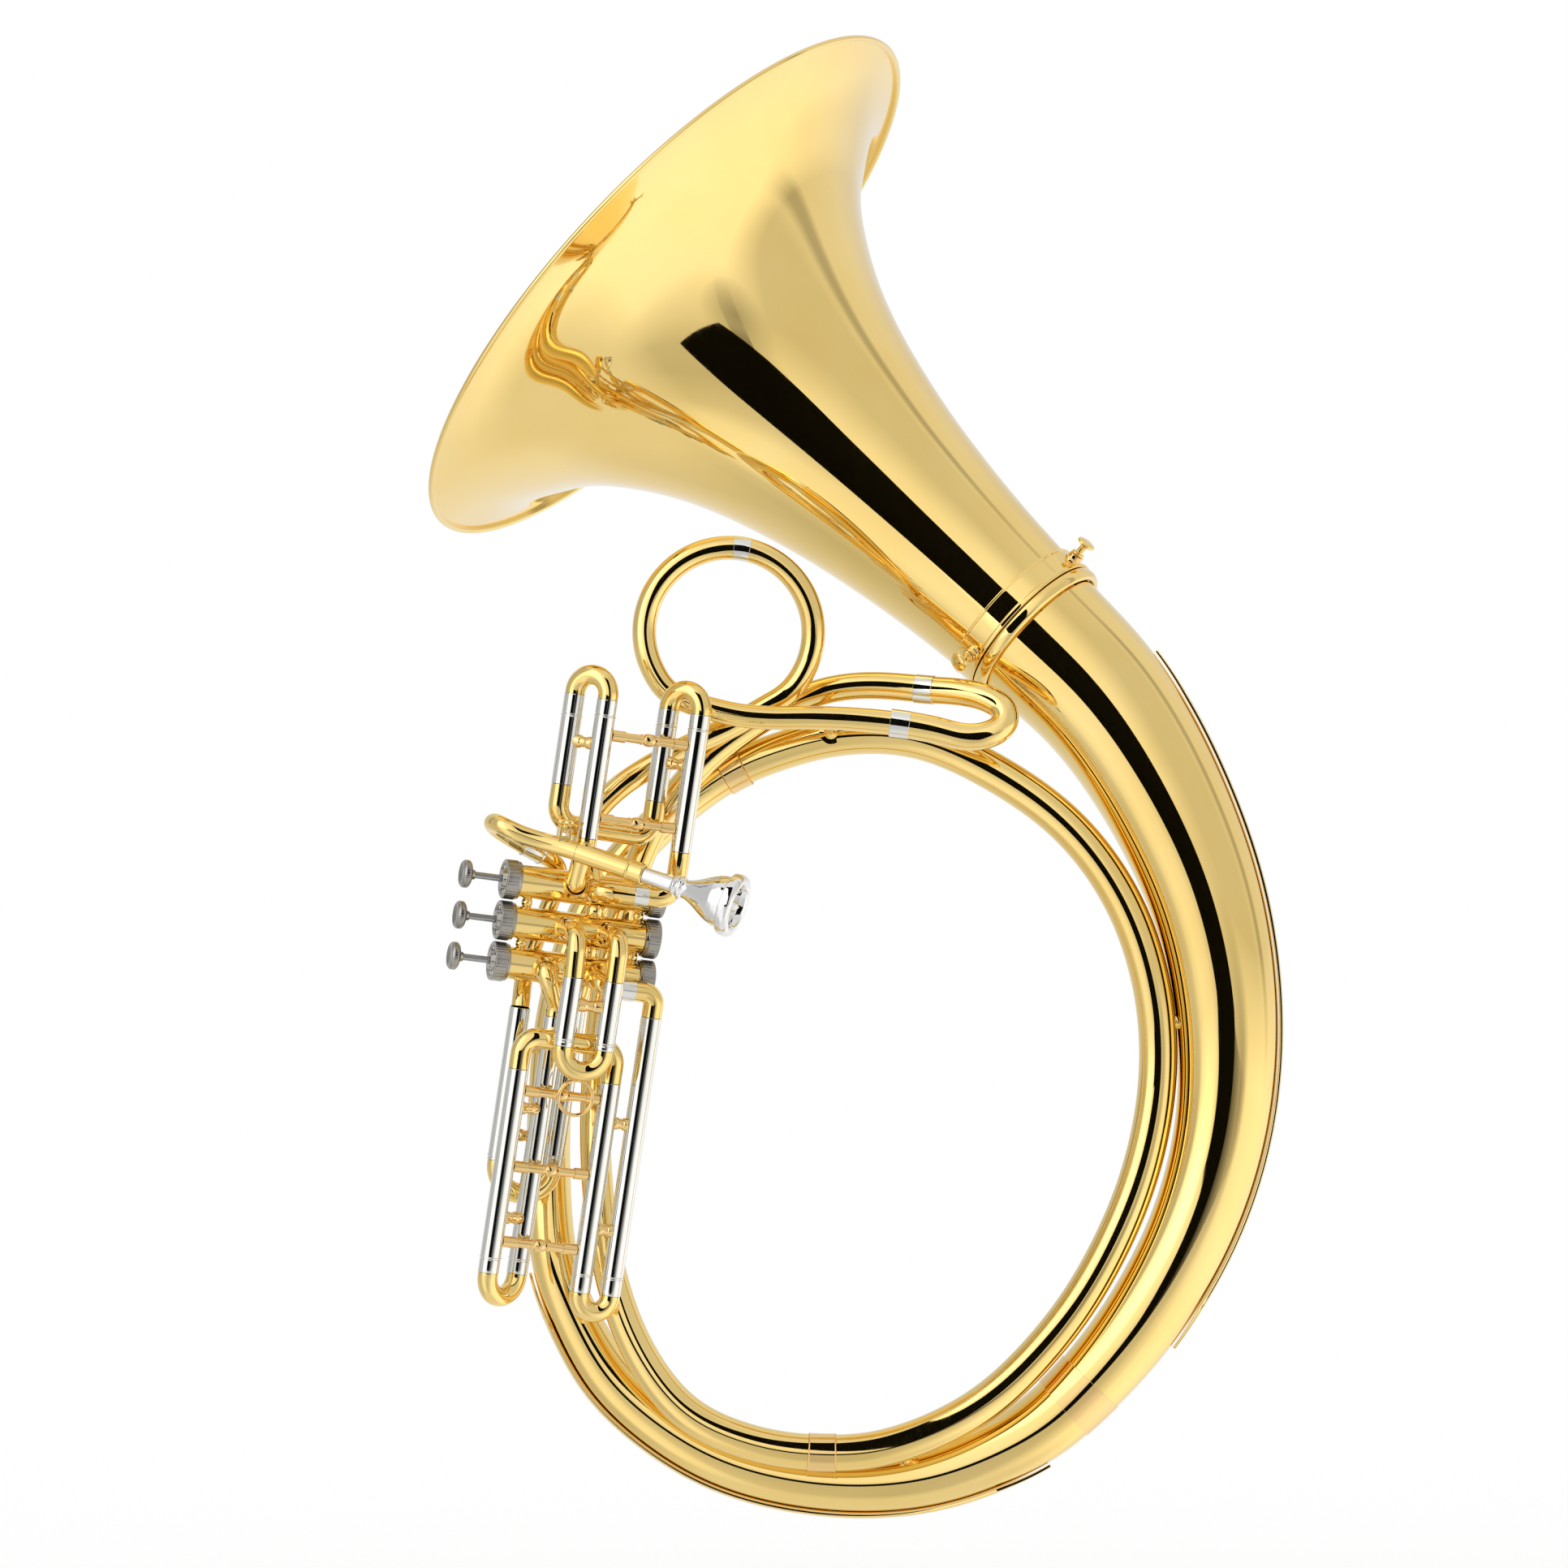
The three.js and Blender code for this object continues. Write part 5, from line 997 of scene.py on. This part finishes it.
def leg_section(length):
    """A leg: a thin plain tube with a fine bead ring at its open end."""
    turns = [math.pi * k / 8 for k in range(9)]
    bead = [(length - 2 * LEG_BEAD - LEG_BEAD * math.cos(a), LEG_RADIUS + LEG_BEAD * math.sin(a)) for a in turns]
    return [
        (0, LEG_RADIUS - LEG_WALL), (0, LEG_RADIUS - 0.0001), (0.0001, LEG_RADIUS), *bead,
        (length - 0.0001, LEG_RADIUS), (length, LEG_RADIUS - 0.0001), (length, LEG_RADIUS - LEG_WALL),
        (0, LEG_RADIUS - LEG_WALL),
    ]


def leg(name):
    along, away, fixed, opening = LEG_SHARES[name]
    start, end = valve_place((along, away, fixed)), valve_place((along, away, opening))
    way = end - start
    return turned(leg_section(way.length), start, way.normalized(), 40)


for name, (first, second, *_) in SLIDES.items():
    dress(joined([leg(first), leg(second)]), f"{name}_legs", nickel, nodes=[f"{name}_legs"])

# %% [markdown]
# The two legs of a slide are tied by short studs. The front legs of the first and third slides
# are tied across by braces: a rod with a sleeve at each end and a ball between two rings.

# %% Studs and braces
STUD_RADIUS = 0.0037
STUD_SINK = 0.001
BRACE_RADIUS = 0.0029
BRACE_SINK = 0.0005


def between_legs(first, second, height):
    """The places of two legs' middles at one height."""
    return [valve_place((*LEG_SHARES[name][:2], height)) for name in (first, second)]


def stud(first, second, height):
    start, end = between_legs(first, second, height)
    way = (end - start).normalized()
    start, length = start + way * (LEG_RADIUS - STUD_SINK), (end - start).length - 2 * (LEG_RADIUS - STUD_SINK)
    half = [(0, 0), (0, 1.12), (0.3, 1.08), (0.36, 0.9)]
    shares = half + [(1 - along, across) for along, across in reversed(half)]
    section = rounded([(along * length, across * STUD_RADIUS) for along, across in shares], 0.0006)[:-1]
    return turned(section, start, way, 32)


def brace_section(length):
    middle, sleeve, r = length / 2, 0.0085, BRACE_RADIUS
    half = [
        (0, 0), (0, r * 1.2), (0.0002, r * 1.22), (sleeve - 0.0002, r * 1.22), (sleeve, r * 1.2),
        (sleeve + 0.0001, r * 0.92), (middle - 0.0055, r * 0.98), (middle - 0.0054, r * 1.15),
        (middle - 0.0046, r * 1.15), (middle - 0.0045, r * 0.98),
    ]
    turns = [math.pi * k / 10 for k in range(11)]
    ball = [(middle - 0.0036 * math.cos(a), r * 0.95 + r * 0.42 * math.sin(a)) for a in turns]
    return half + ball + [(length - a, radius) for a, radius in reversed(half)]


def brace(first, second, height):
    start, end = between_legs(first, second, height)
    way = (end - start).normalized()
    start += way * (LEG_RADIUS - BRACE_SINK)
    return turned(brace_section((end - start).length - LEG_RADIUS + BRACE_SINK * 0.4), start, way, 40)


for name, (first, second, reach, heights) in SLIDES.items():
    for letter, height in zip("ab", heights):
        dress(stud(first, second, height), f"{name}_stud_{letter}", rose_brass)
TOP_LEGS = ("firstLeftLong", "firstRightLong")
FRONT_LEGS = ("thirdLeftFront", "thirdRightFront")
BRACES = {
    "brace_1_low": (TOP_LEGS, 0.705), "brace_1_high": (TOP_LEGS, 1.22),
    "brace_3_high": (FRONT_LEGS, -1.465), "brace_3_low": (FRONT_LEGS, -1.93),
}
for name, (legs, height) in BRACES.items():
    dress(brace(*legs, height), name, rose_brass)

# %% A long post from the first slide's front leg to the loop
LEG_POST_HEIGHT = 0.9
LEG_POST_ROW = 33.75
LEG_POST_FOOT = 0.0045
along, away = LEG_SHARES["firstRightLong"][:2]
leg_place = valve_place((along, away, LEG_POST_HEIGHT)), up_way, LEG_RADIUS
dress(post_between(leg_place, on_route(body_route, LEG_POST_ROW), THIN_POST, LEG_POST_FOOT), "leg_post", rose_brass)

# %% Bows and inner tubes of the slides
INNER_RADIUS = 0.0054
INNER_WALL = 0.0007
INNER_MOUTH = 0.0045
BOW_TUBE = 0.0062
INSERT_SHARE = 0.74
BOW_STEPS = 28
BOW_SHOULDER = 0.0015


def leg_length(name):
    along, away, fixed, opening = LEG_SHARES[name]
    return abs(opening - fixed) * VALVE_LENGTH


for name, (first, second, reach, _) in SLIDES.items():
    a, b = LEG_SHARES[first], LEG_SHARES[second]
    way = 1 if reach > a[3] else -1
    start, end = between_legs(first, second, reach)
    radius = (start - end).length / 2
    centre_share = reach - way * (radius + BOW_TUBE) / VALVE_LENGTH
    centre = valve_place(((a[0] + b[0]) / 2, (a[1] + b[1]) / 2, centre_share))
    out, across = up_way * way * radius, (start - end).normalized() * radius
    turns = [math.pi * k / BOW_STEPS for k in range(BOW_STEPS + 1)]
    bend = [centre + across * math.cos(angle) + out * math.sin(angle) for angle in turns]
    drop = up_way * way * BOW_SHOULDER
    bow_body = f"{name}_bow"
    bow = even_tube([bend[0] - drop, *bend, bend[-1] - drop], BOW_TUBE, sides=48)
    dress(bow, bow_body, brass, bow_body, [bow_body])
    insert = min(leg_length(first), leg_length(second)) * INSERT_SHARE
    inner = []
    for top, share in ((bend[0] - drop, a), (bend[-1] - drop, b)):
        mouth = valve_place((share[0], share[1], share[3]))
        show = (top - mouth).length
        section = [
            (0, INNER_MOUTH), (0.0002, BOW_TUBE + 0.0001), (0.0005, BOW_TUBE + 0.0002),
            (show - 0.0006, BOW_TUBE + 0.0002), (show - 0.0003, BOW_TUBE), (show - 0.0003, INNER_RADIUS),
            (show + insert, INNER_RADIUS), (show + insert, INNER_RADIUS - INNER_WALL), (0, INNER_MOUTH),
        ]
        inner.append(turned(section, top, -up_way * way, 40))
    dress(joined(inner), f"{name}_inner_tubes", nickel, bow_body)

# %% [markdown]
# The ring for a finger of the right hand is a plain wire ring. It is soldered to the front of a
# brace that ties the front legs of the third slide, a little above the ring's middle.

# %% Finger ring
RING_PLACE_SHARES = (0.075, -0.24, -1.03)
FINGER_RING = 0.0107
FINGER_WIRE = 0.0011
RING_SHIFT = Vector((-0.0015, 0, 0.0032))
RING_BRACE_HEIGHT = RING_PLACE_SHARES[2] + 0.032
ring_centre = valve_place(RING_PLACE_SHARES) + RING_SHIFT - away_way * (BRACE_RADIUS + FINGER_WIRE * 0.8)
bpy.ops.object.select_all(action="DESELECT")
bpy.ops.mesh.primitive_torus_add(
    major_radius=FINGER_RING, minor_radius=FINGER_WIRE, major_segments=96, minor_segments=20,
)
ring = bpy.context.object
ring.data.transform(Matrix.Translation(ring_centre) @ onto(away_way))
ring_brace = brace(*FRONT_LEGS, RING_BRACE_HEIGHT)
dress(joined([ring, ring_brace]), "finger_ring", rose_brass, nodes=["finger_ring"])

# %% [markdown]
# The mouthpiece goes into the receiver. From there the leadpipe loops out in front, turns behind
# the valves and runs down to the main tuning slide.

# %% Receiver and leadpipe
RECEIVER_PLACE_SHARES = (-0.097, -0.345, 0.482)
RECEIVER_LINE_SHARES = (0.829, -0.536, -0.156)
RECEIVER_RADIUS = 0.0062
RECEIVER_BORE = 0.0051
RECEIVER_BACK = 0.008
RECEIVER_FRONT = 0.0364
LEADPIPE_RADIUS = 0.0056
LEADPIPE_SHARES = (
    (-0.34, -0.2, 0.52), (-0.488, -0.16, 0.544), (-0.585, -0.14, 0.573), (-0.645, -0.04, 0.593),
    (-0.625, 0.05, 0.568), (-0.555, 0.09, 0.53), (-0.445, 0.09, 0.483), (-0.339, 0.09, 0.441),
    (-0.217, 0.125, 0.4), (-0.145, 0.165, 0.35), (-0.132, 0.175, 0.27), (-0.165, 0.175, 0.12),
    (-0.21, 0.175, -0.07), (-0.25, 0.168, -0.26), (-0.275, 0.115, -0.385), (-0.289, 0.04, -0.48),
    (-0.289, 0.04, -0.517),
)
receiver_place = valve_place(RECEIVER_PLACE_SHARES)
receiver_line = (valve_facing @ Vector(RECEIVER_LINE_SHARES)).normalized()
lead_starts = (RECEIVER_BACK + 2 * SEAM, RECEIVER_BACK * 1.6)
lead_points = [receiver_place - receiver_line * back for back in lead_starts]
lead_points += [valve_place(row) for row in LEADPIPE_SHARES]
lead_route = Route(lead_points, [LEADPIPE_RADIUS] * len(lead_points), 0.004)
pipe = tube(lead_route.cut(0, lead_route.even[-1], SMALL_STEP), SMALL_WALL, 44)
dress(pipe, "leadpipe", brass, nodes=["leadpipe"])
LEAD_FERRULE_ROW = 9
ferrule = band(lead_route, lead_route.length_at(LEAD_FERRULE_ROW), 0.013, 0.0005, 0.0006, sides=44)
dress(ferrule, "leadpipe_ferrule", nickel)
receiver = turned(rounded([
    (-RECEIVER_BACK, RECEIVER_BORE), (-RECEIVER_BACK, RECEIVER_RADIUS), (0.0255, RECEIVER_RADIUS),
    (0.0259, RECEIVER_RADIUS + 0.0005), (0.0267, RECEIVER_RADIUS + 0.0005), (0.0271, RECEIVER_RADIUS + 0.0002),
    (RECEIVER_FRONT - 0.0008, RECEIVER_RADIUS + 0.0004), (RECEIVER_FRONT, RECEIVER_RADIUS),
    (RECEIVER_FRONT, RECEIVER_BORE),
], 0.0003), receiver_place, receiver_line, 56)
dress(receiver, "receiver", brass, nodes=["receiver"])

# %% [markdown]
# The mouthpiece is turned from bar and silver plated: a broad rim, a bowl, a beaded neck and a
# tapered shank. Its cup and throat are cut in the same section, so it is open right through.

# %% Mouthpiece
MOUTHPIECE_LENGTH = 0.082
MOUTHPIECE_SHOW = 0.0635
CUP_RIM = 0.0197
OUTSIDE_SHARES = (
    (0, 0.84), (0.008, 0.93), (0.03, 0.99), (0.055, 1), (0.09, 0.985), (0.098, 0.96), (0.1, 0.83), (0.125, 0.83),
    (0.16, 0.81), (0.2, 0.765), (0.24, 0.69), (0.28, 0.6), (0.32, 0.5), (0.36, 0.41), (0.4, 0.335), (0.43, 0.295),
    (0.45, 0.29), (0.455, 0.36), (0.47, 0.38), (0.485, 0.36), (0.49, 0.3), (0.505, 0.29), (0.51, 0.33),
    (0.525, 0.335), (0.535, 0.28), (0.55, 0.265), (1, 0.205),
)
INSIDE_SHARES = (
    (1, 0.165), (0.7, 0.125), (0.5, 0.1), (0.4, 0.1), (0.36, 0.13), (0.32, 0.2), (0.27, 0.33), (0.2, 0.48),
    (0.12, 0.58), (0.05, 0.63), (0.015, 0.68), (0.003, 0.75),
)
cup_section = [(along * MOUTHPIECE_LENGTH, radius * CUP_RIM) for along, radius in OUTSIDE_SHARES + INSIDE_SHARES]
cup_section = rounded(cup_section, 0.0006, 2)
rim_place = receiver_place + receiver_line * (RECEIVER_FRONT + MOUTHPIECE_SHOW)
dress(turned(cup_section, rim_place, -receiver_line, 96), "mouthpiece", silver, "mouthpiece", ["mouthpiece"])

# %% [markdown]
# A small square socket on the leadpipe takes the stem of a music lyre, and a thumbscrew clamps it.
# The socket is a cube with its edges bevelled and its hole cut by a Boolean.

# %% Lyre socket and screw
LYRE_PLACE_SHARES = (-0.25, -0.242, 0.509)
LYRE_WIDTH = 0.008
LYRE_RISE = 0.005
LYRE_HEIGHT = 0.007
LYRE_HOLE = 0.004
foot = valve_place(LYRE_PLACE_SHARES)


def block(size, centre):
    bpy.ops.object.select_all(action="DESELECT")
    bpy.ops.mesh.primitive_cube_add(size=1)
    piece = bpy.context.object
    facing = valve_facing.to_4x4()
    piece.data.transform(Matrix.Translation(centre) @ facing @ Matrix.Diagonal((*size, 1)))
    return piece


socket_length = LYRE_RISE + LYRE_HEIGHT
socket = block((LYRE_WIDTH, LYRE_WIDTH, socket_length), foot + up_way * socket_length / 2)
hole = block((LYRE_HOLE, LYRE_WIDTH * 2, LYRE_HOLE), foot + up_way * (LYRE_RISE + LYRE_HEIGHT / 2))
apply(socket, "BOOLEAN", object=hole, operation="DIFFERENCE", solver="EXACT")
bpy.data.objects.remove(hole)
apply(socket, "BEVEL", width=0.0005, segments=3, limit_method="ANGLE")
dress(socket, "lyre_socket", brass)
top = foot + up_way * socket_length
screw = turned(rounded([
    (-0.0032, 0), (-0.0032, 0.0015), (0.002, 0.0015), (0.0022, 0.0038), (0.0026, 0.0046), (0.0042, 0.0046),
    (0.0048, 0.0036), (0.0048, 0),
], 0.0004)[:-1], top, up_way, 96)
waved(screw, top, up_way, 0.0042, 0.006, 24, 0.00015, True)
dress(screw, "lyre_screw", brass, "lyre_screw", ["lyre_screw"])

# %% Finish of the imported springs, which show only through the ports
for number in (1, 2, 3):
    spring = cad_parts[f"valve_spring_{number}"]
    spring.data.materials.clear()
    spring.data.materials.append(spring_wire)
print("packed nodes still shown", [name for name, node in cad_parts.items() if not node.hide_render])

# %% [markdown]
# Polished metal is lit by what it mirrors. A studio puts the horn in a white tent of panels, some
# nearer and brighter than others. Here the world plays the tent for glossy rays, with one row of
# levels round the horn for high directions and one for low ones, and it is plain white for the
# camera and for the floor's own light. Each row pairs a direction in degrees, from straight at the
# lens round to the right, with the panel's level there.

# %% World
BRIGHTEST = 2.0
UPPER_STOPS = (
    (-180, 0.8), (-150, 0.7), (-114, 0.62), (-112, 0.3), (-106, 0.3), (-104, 0.6), (-70, 0.58), (-62, 1.5),
    (-50, 2.0), (-33, 2.0), (-26, 1.25), (-8, 1.12), (8, 1.02), (24, 0.82), (36, 0.72), (80, 0.72), (88, 0.8),
    (94, 0.5), (99, 0.5), (104, 0.84), (130, 0.84), (150, 0.76), (180, 0.8),
)
LOWER_STOPS = (
    (-180, 0.9), (-150, 0.78), (-110, 0.66), (-90, 0.62), (-72, 0.72), (-62, 1.0), (-50, 1.12), (-30, 1.02),
    (-18, 0.75), (0, 0.62), (14, 0.66), (26, 0.85), (38, 1.0), (50, 1.18), (84, 1.28), (110, 1.25), (130, 1.15),
    (150, 0.95), (180, 0.9),
)
HEIGHT_STOPS = ((0, 1), (0.04, 1), (0.12, 0), (0.88, 0), (0.96, 1), (1, 1))
POLE_LEVEL = 0.85
HORIZON_SLOPE = 4
HORIZON_SHARE = 0.6
world = bpy.data.worlds.new("studio")
bpy.context.scene.world = world
world.use_nodes = True
nodes, links = world.node_tree.nodes, world.node_tree.links
nodes.clear()


def math_node(operation, *values):
    node = nodes.new("ShaderNodeMath")
    node.operation = operation
    for socket_input, value in zip(node.inputs, values):
        if isinstance(value, (int, float)):
            socket_input.default_value = value
        else:
            links.new(value, socket_input)
    return node.outputs[0]


def level_ramp(stops, share):
    ramp_node = nodes.new("ShaderNodeValToRGB")
    ramp = ramp_node.color_ramp
    while len(ramp.elements) < len(stops):
        ramp.elements.new(0.5)
    for element, (position, level) in zip(ramp.elements, stops):
        element.position = position
        element.color = (level, level, level, 1)
    links.new(share, ramp_node.inputs["Fac"])
    return ramp_node.outputs["Color"]


def blend_levels(share, first, second):
    mix = nodes.new("ShaderNodeMix")
    mix.data_type = "RGBA"
    for name, value in (("Factor", share), ("A", first), ("B", second)):
        if isinstance(value, tuple):
            mix.inputs[name].default_value = value
        else:
            links.new(value, mix.inputs[name])
    return mix.outputs["Result"]


# %% The panels, by the direction round the horn and the height
where = nodes.new("ShaderNodeTexCoord")
parts = nodes.new("ShaderNodeSeparateXYZ")
links.new(where.outputs["Generated"], parts.inputs[0])
front = math_node("MULTIPLY", parts.outputs["Y"], -1)
turn = math_node("ARCTAN2", parts.outputs["X"], front)
turn_share = math_node("ADD", math_node("DIVIDE", turn, math.tau), 0.5)
upper, lower = (
    level_ramp([(angle / 360 + 0.5, level / BRIGHTEST) for angle, level in stops], turn_share)
    for stops in (UPPER_STOPS, LOWER_STOPS)
)
rise = math_node("MULTIPLY_ADD", parts.outputs["Z"], HORIZON_SLOPE, HORIZON_SHARE)
rise = math_node("MINIMUM", math_node("MAXIMUM", rise, 0), 1)
panels = blend_levels(rise, lower, upper)
height_share = math_node("MULTIPLY_ADD", parts.outputs["Z"], 0.5, 0.5)
panels = blend_levels(level_ramp(HEIGHT_STOPS, height_share), panels, (*[POLE_LEVEL / BRIGHTEST] * 3, 1))

# %% [markdown]
# In front of the horn a place on the panels is easier to name by how far it lies to the right and
# above the lens, as shares of its distance in front. A soft grey shade lies to the right, and a
# thin dark line runs across, which the straight legs mirror as one crisp black stripe.

# %% A soft shade on the panels to the right of the camera
SHADE_CENTRE = (0.6, -0.17)
SHADE_REACH = (0.42, 0.3)
SHADE_SHARE = 0.75
SHADE_LEVEL = 0.3
NEAR_SIDE = 0.05
depth = math_node("MAXIMUM", front, NEAR_SIDE)
in_front = math_node("GREATER_THAN", front, NEAR_SIDE)
right, above = (math_node("DIVIDE", parts.outputs[name], depth) for name in "XZ")
across, up = (
    math_node("DIVIDE", math_node("SUBTRACT", place_share, centre), reach)
    for place_share, centre, reach in zip((right, above), SHADE_CENTRE, SHADE_REACH)
)
squares = math_node("ADD", math_node("MULTIPLY", across, across), math_node("MULTIPLY", up, up))
inward = math_node("SUBTRACT", 1, math_node("MINIMUM", math_node("SQRT", squares), 1))
shade = math_node("MULTIPLY", math_node("MULTIPLY", inward, SHADE_SHARE), in_front)
panels = blend_levels(shade, panels, (*[SHADE_LEVEL / BRIGHTEST] * 3, 1))

# %% A thin dark line that the straight legs mirror
LINE_STOPS = ((-0.44, 0), (-0.41, 1), (0.08, 1), (0.42, 0.45), (0.5, 0.2), (1.0, 0))
LINE_SPAN = 4
LINE_DROP = 0.12
LINE_TILT = 0.15
LINE_REACH = 0.07
LINE_LEVEL = 0.002
off_line = math_node("ABSOLUTE", math_node("ADD", math_node("MULTIPLY_ADD", right, LINE_TILT, LINE_DROP), above))
on_line = math_node("MULTIPLY", math_node("LESS_THAN", off_line, LINE_REACH), in_front)
fade_stops = [(spot / LINE_SPAN + 0.5, share) for spot, share in LINE_STOPS]
fade = level_ramp(fade_stops, math_node("MULTIPLY_ADD", right, 1 / LINE_SPAN, 0.5))
panels = blend_levels(math_node("MULTIPLY", on_line, fade), panels, (*[LINE_LEVEL] * 3, 1))

# %% Panels for glossy rays, plain white for the rest
studio = nodes.new("ShaderNodeBackground")
studio.inputs["Strength"].default_value = BRIGHTEST
links.new(panels, studio.inputs["Color"])
plain = nodes.new("ShaderNodeBackground")
plain.inputs["Color"].default_value = (1, 1, 1, 1)
rays = nodes.new("ShaderNodeLightPath")
choose = nodes.new("ShaderNodeMixShader")
links.new(rays.outputs["Is Glossy Ray"], choose.inputs[0])
links.new(plain.outputs[0], choose.inputs[1])
links.new(studio.outputs[0], choose.inputs[2])
output = nodes.new("ShaderNodeOutputWorld")
links.new(choose.outputs[0], output.inputs["Surface"])

# %% [markdown]
# One black line runs along every tube, with a square end on the bell. It is the mirror image of a
# long black card that the photographer stands beside the lens, near the horn at its left end and
# further away at its right end. The card is a plane whose corners are moved to their places. Only
# mirror rays see it, so it neither hides the horn nor shades the floor.

# %% The black card
CARD_CORNERS = ((-0.172, 0.159), (-0.014, 0.313), (0.684, -0.284), (0.144, -0.574))
CARD_DEPTH = 0.527
CARD_SLANT = (-1.395, 0.606)
bpy.ops.object.select_all(action="DESELECT")
bpy.ops.mesh.primitive_plane_add(size=1)
card = bpy.context.object
card.name = "black card"
for index, (x, z) in zip(card.data.polygons[0].vertices, CARD_CORNERS):
    card.data.vertices[index].co = (x, CARD_SLANT[0] * x + CARD_SLANT[1] * z - CARD_DEPTH, z)
for rays_kind in ("camera", "diffuse", "transmission", "volume_scatter", "shadow"):
    setattr(card, f"visible_{rays_kind}", False)
card_finish = bpy.data.materials.new("black card")
card_finish.use_nodes = True
set_inputs(
    card_finish.node_tree.nodes["Principled BSDF"],
    Base_Color=(0.005, 0.005, 0.004, 1), Roughness=1.0, Specular_IOR_Level=0.0,
)
card.data.materials.append(card_finish)
print("card corners", [[round(x, 3) for x in vertex.co] for vertex in card.data.vertices])

# %% Floor
FLOOR_DROP = 0.09
bpy.ops.object.select_all(action="DESELECT")
bpy.ops.mesh.primitive_plane_add(size=80, location=(0, 0, cad_box[0].z - FLOOR_DROP))
floor = bpy.context.object
floor.name = "floor"
floor_finish = bpy.data.materials.new("pale floor")
floor_finish.use_nodes = True
nodes, links = floor_finish.node_tree.nodes, floor_finish.node_tree.links
set_inputs(nodes["Principled BSDF"], Base_Color=(1, 1, 1, 1), Roughness=1.0, Specular_IOR_Level=0.0)
rays = nodes.new("ShaderNodeLightPath")
clear = nodes.new("ShaderNodeBsdfTransparent")
choose = nodes.new("ShaderNodeMixShader")
links.new(rays.outputs["Is Glossy Ray"], choose.inputs[0])
links.new(nodes["Principled BSDF"].outputs[0], choose.inputs[1])
links.new(clear.outputs[0], choose.inputs[2])
links.new(choose.outputs[0], nodes["Material Output"].inputs["Surface"])
floor.data.materials.append(floor_finish)

# %% [markdown]
# The photograph is taken from straight in front with a long lens. The frame is 0.966 m wide at
# the horn, and the horn stands a little to the right of its middle.

# %% Camera
FRAME_WIDTH = 0.966
FRAME_CENTRE = (-0.0545, -0.0185)
CAMERA_DISTANCE = 6.708
SENSOR = 36.0
lens = bpy.data.cameras.new("camera")
lens.sensor_width = SENSOR
lens.lens = SENSOR * CAMERA_DISTANCE / FRAME_WIDTH
lens.clip_start = 0.1
lens.clip_end = 200
camera = bpy.data.objects.new("camera", lens)
bpy.context.scene.collection.objects.link(camera)
camera.location = (FRAME_CENTRE[0], -CAMERA_DISTANCE, FRAME_CENTRE[1])
camera.rotation_euler = (math.pi / 2, 0, 0)
bpy.context.scene.camera = camera
bpy.context.scene.view_settings.view_transform = "Standard"
